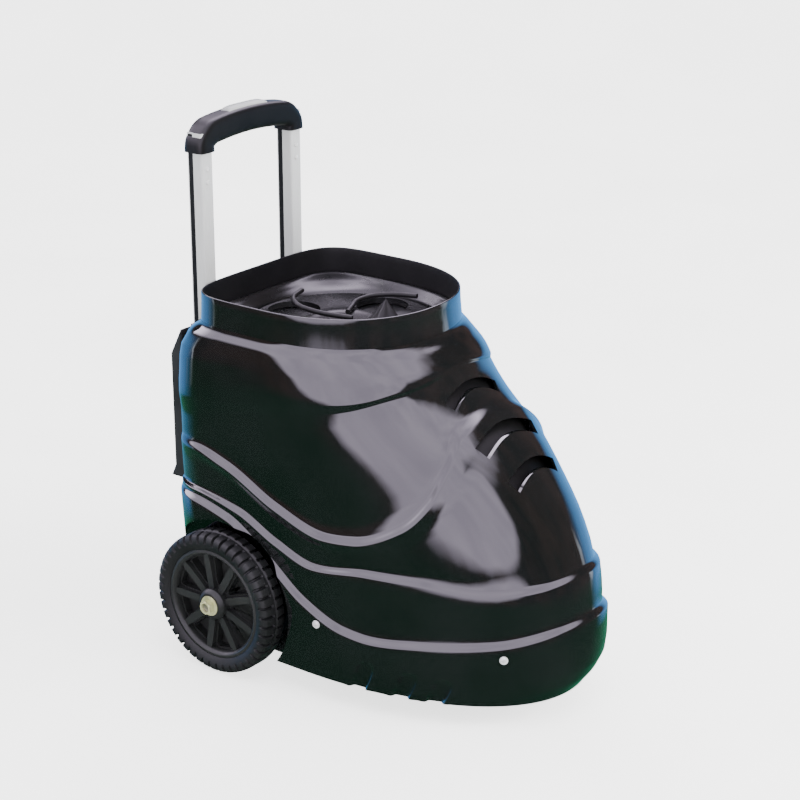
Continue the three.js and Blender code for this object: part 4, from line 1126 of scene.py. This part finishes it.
# %% World: sky, dusk, blue rim and ground
streaks = noise(sky, 3.2, 6, 0.62, (1.0, 1.0, 0.45))
ragged = calculate("ADD", sky_edge, between(sky, streaks, -0.035, 0.035))
sky_share = between(sky, calculate("SUBTRACT", upright, ragged), 0, 1, 0.0, 0.10)
cloud = blend_colours(between(sky, streaks, 0, 1, 0.38, 0.62), (0.64, 0.57, 0.72), LAVENDER)
behind = calculate("MULTIPLY", calculate("ADD", split.outputs["X"], split.outputs["Y"]), 0.7)
cloud = blend_colours(between(sky, behind, 0, 1, 0.2, 0.45), cloud, (1.9, 1.7, 2.1))
low_down = between(sky, upright, 1, 0, -0.02, 0.22)
blue_share = calculate("MULTIPLY", between(sky, behind, 0, 1, 0.2, 0.5), low_down)
dusk = blend_colours(between(sky, streaks, 0, 1, 0.45, 0.65), NIGHT, (0.045, 0.026, 0.024))
dusk = blend_colours(blue_share, dusk, BLUE)
wander = calculate("ADD", behind, between(sky, streaks, -0.12, 0.12))
rim_rise, rim_fall = between(sky, wander, 0, 1, 0.20, 0.24), between(sky, wander, 1, 0, 0.27, 0.31)
rim_line = calculate("MULTIPLY", rim_rise, rim_fall)
rim_line = calculate("MULTIPLY", rim_line, between(sky, upright, 1, 0, -0.02, 0.2))
dusk = blend_colours(rim_line, dusk, (0.5, 0.55, 0.62))
grass = blend_colours(between(sky, behind, 0, 1, 0.1, 0.6), GROUND, (0.012, 0.085, 0.045))
grass = blend_colours(between(sky, upright, 1, 0, -0.8, -0.45), grass, GROUND)
land = blend_colours(between(sky, upright, 1, 0, -0.30, -0.16), dusk, grass)
low_blue = calculate("MULTIPLY", blue_share, between(sky, upright, 0.0, 1, -0.42, -0.3))
land = blend_colours(low_blue, land, BLUE)
mirrored, even = sky.nodes.new("ShaderNodeBackground"), sky.nodes.new("ShaderNodeBackground")
sky.links.new(blend_colours(sky_share, land, cloud), mirrored.inputs["Color"])
mirrored.inputs["Strength"].default_value = MIRRORED
set_inputs(even, Color=(0.98, 0.98, 0.98, 1))
ray = sky.nodes.new("ShaderNodeLightPath").outputs
pale_light = calculate("ADD", calculate("MULTIPLY", ray["Is Camera Ray"], BACKDROP), EVEN)
sky.links.new(pale_light, even.inputs["Strength"])
which = sky.nodes.new("ShaderNodeMixShader")
sky.links.new(ray["Is Glossy Ray"], which.inputs["Fac"])
sky.links.new(even.outputs[0], which.inputs[1])
sky.links.new(mirrored.outputs[0], which.inputs[2])
sky.links.new(which.outputs[0], sky.nodes.new("ShaderNodeOutputWorld").inputs["Surface"])


# %% Soft boxes
def soft_box(name, place, aim, size, power, colour):
    """A rectangular area light at a place, turned to face a point, in metres. It isn't mirrored."""
    light = bpy.data.lights.new(name, "AREA")
    light.shape, light.size, light.size_y = "RECTANGLE", *size
    light.energy, light.color = power, colour
    lamp = bpy.data.objects.new(name, light)
    lamp.location = place
    lamp.rotation_euler = (Vector(aim) - Vector(place)).to_track_quat("-Z", "Y").to_euler()
    lamp.visible_glossy = False
    bpy.context.scene.collection.objects.link(lamp)
    return lamp


MIDDLE = (0, 0, 0.3)
soft_box("top_box", (-0.6, -1.2, 3.2), MIDDLE, (2.4, 1.6), 70, (0.96, 0.95, 1.0))
soft_box("front_box", (0.9, -2.8, 1.5), MIDDLE, (1.6, 1.6), 170, (1.0, 0.99, 0.97))
print("floor, world and lights are set")
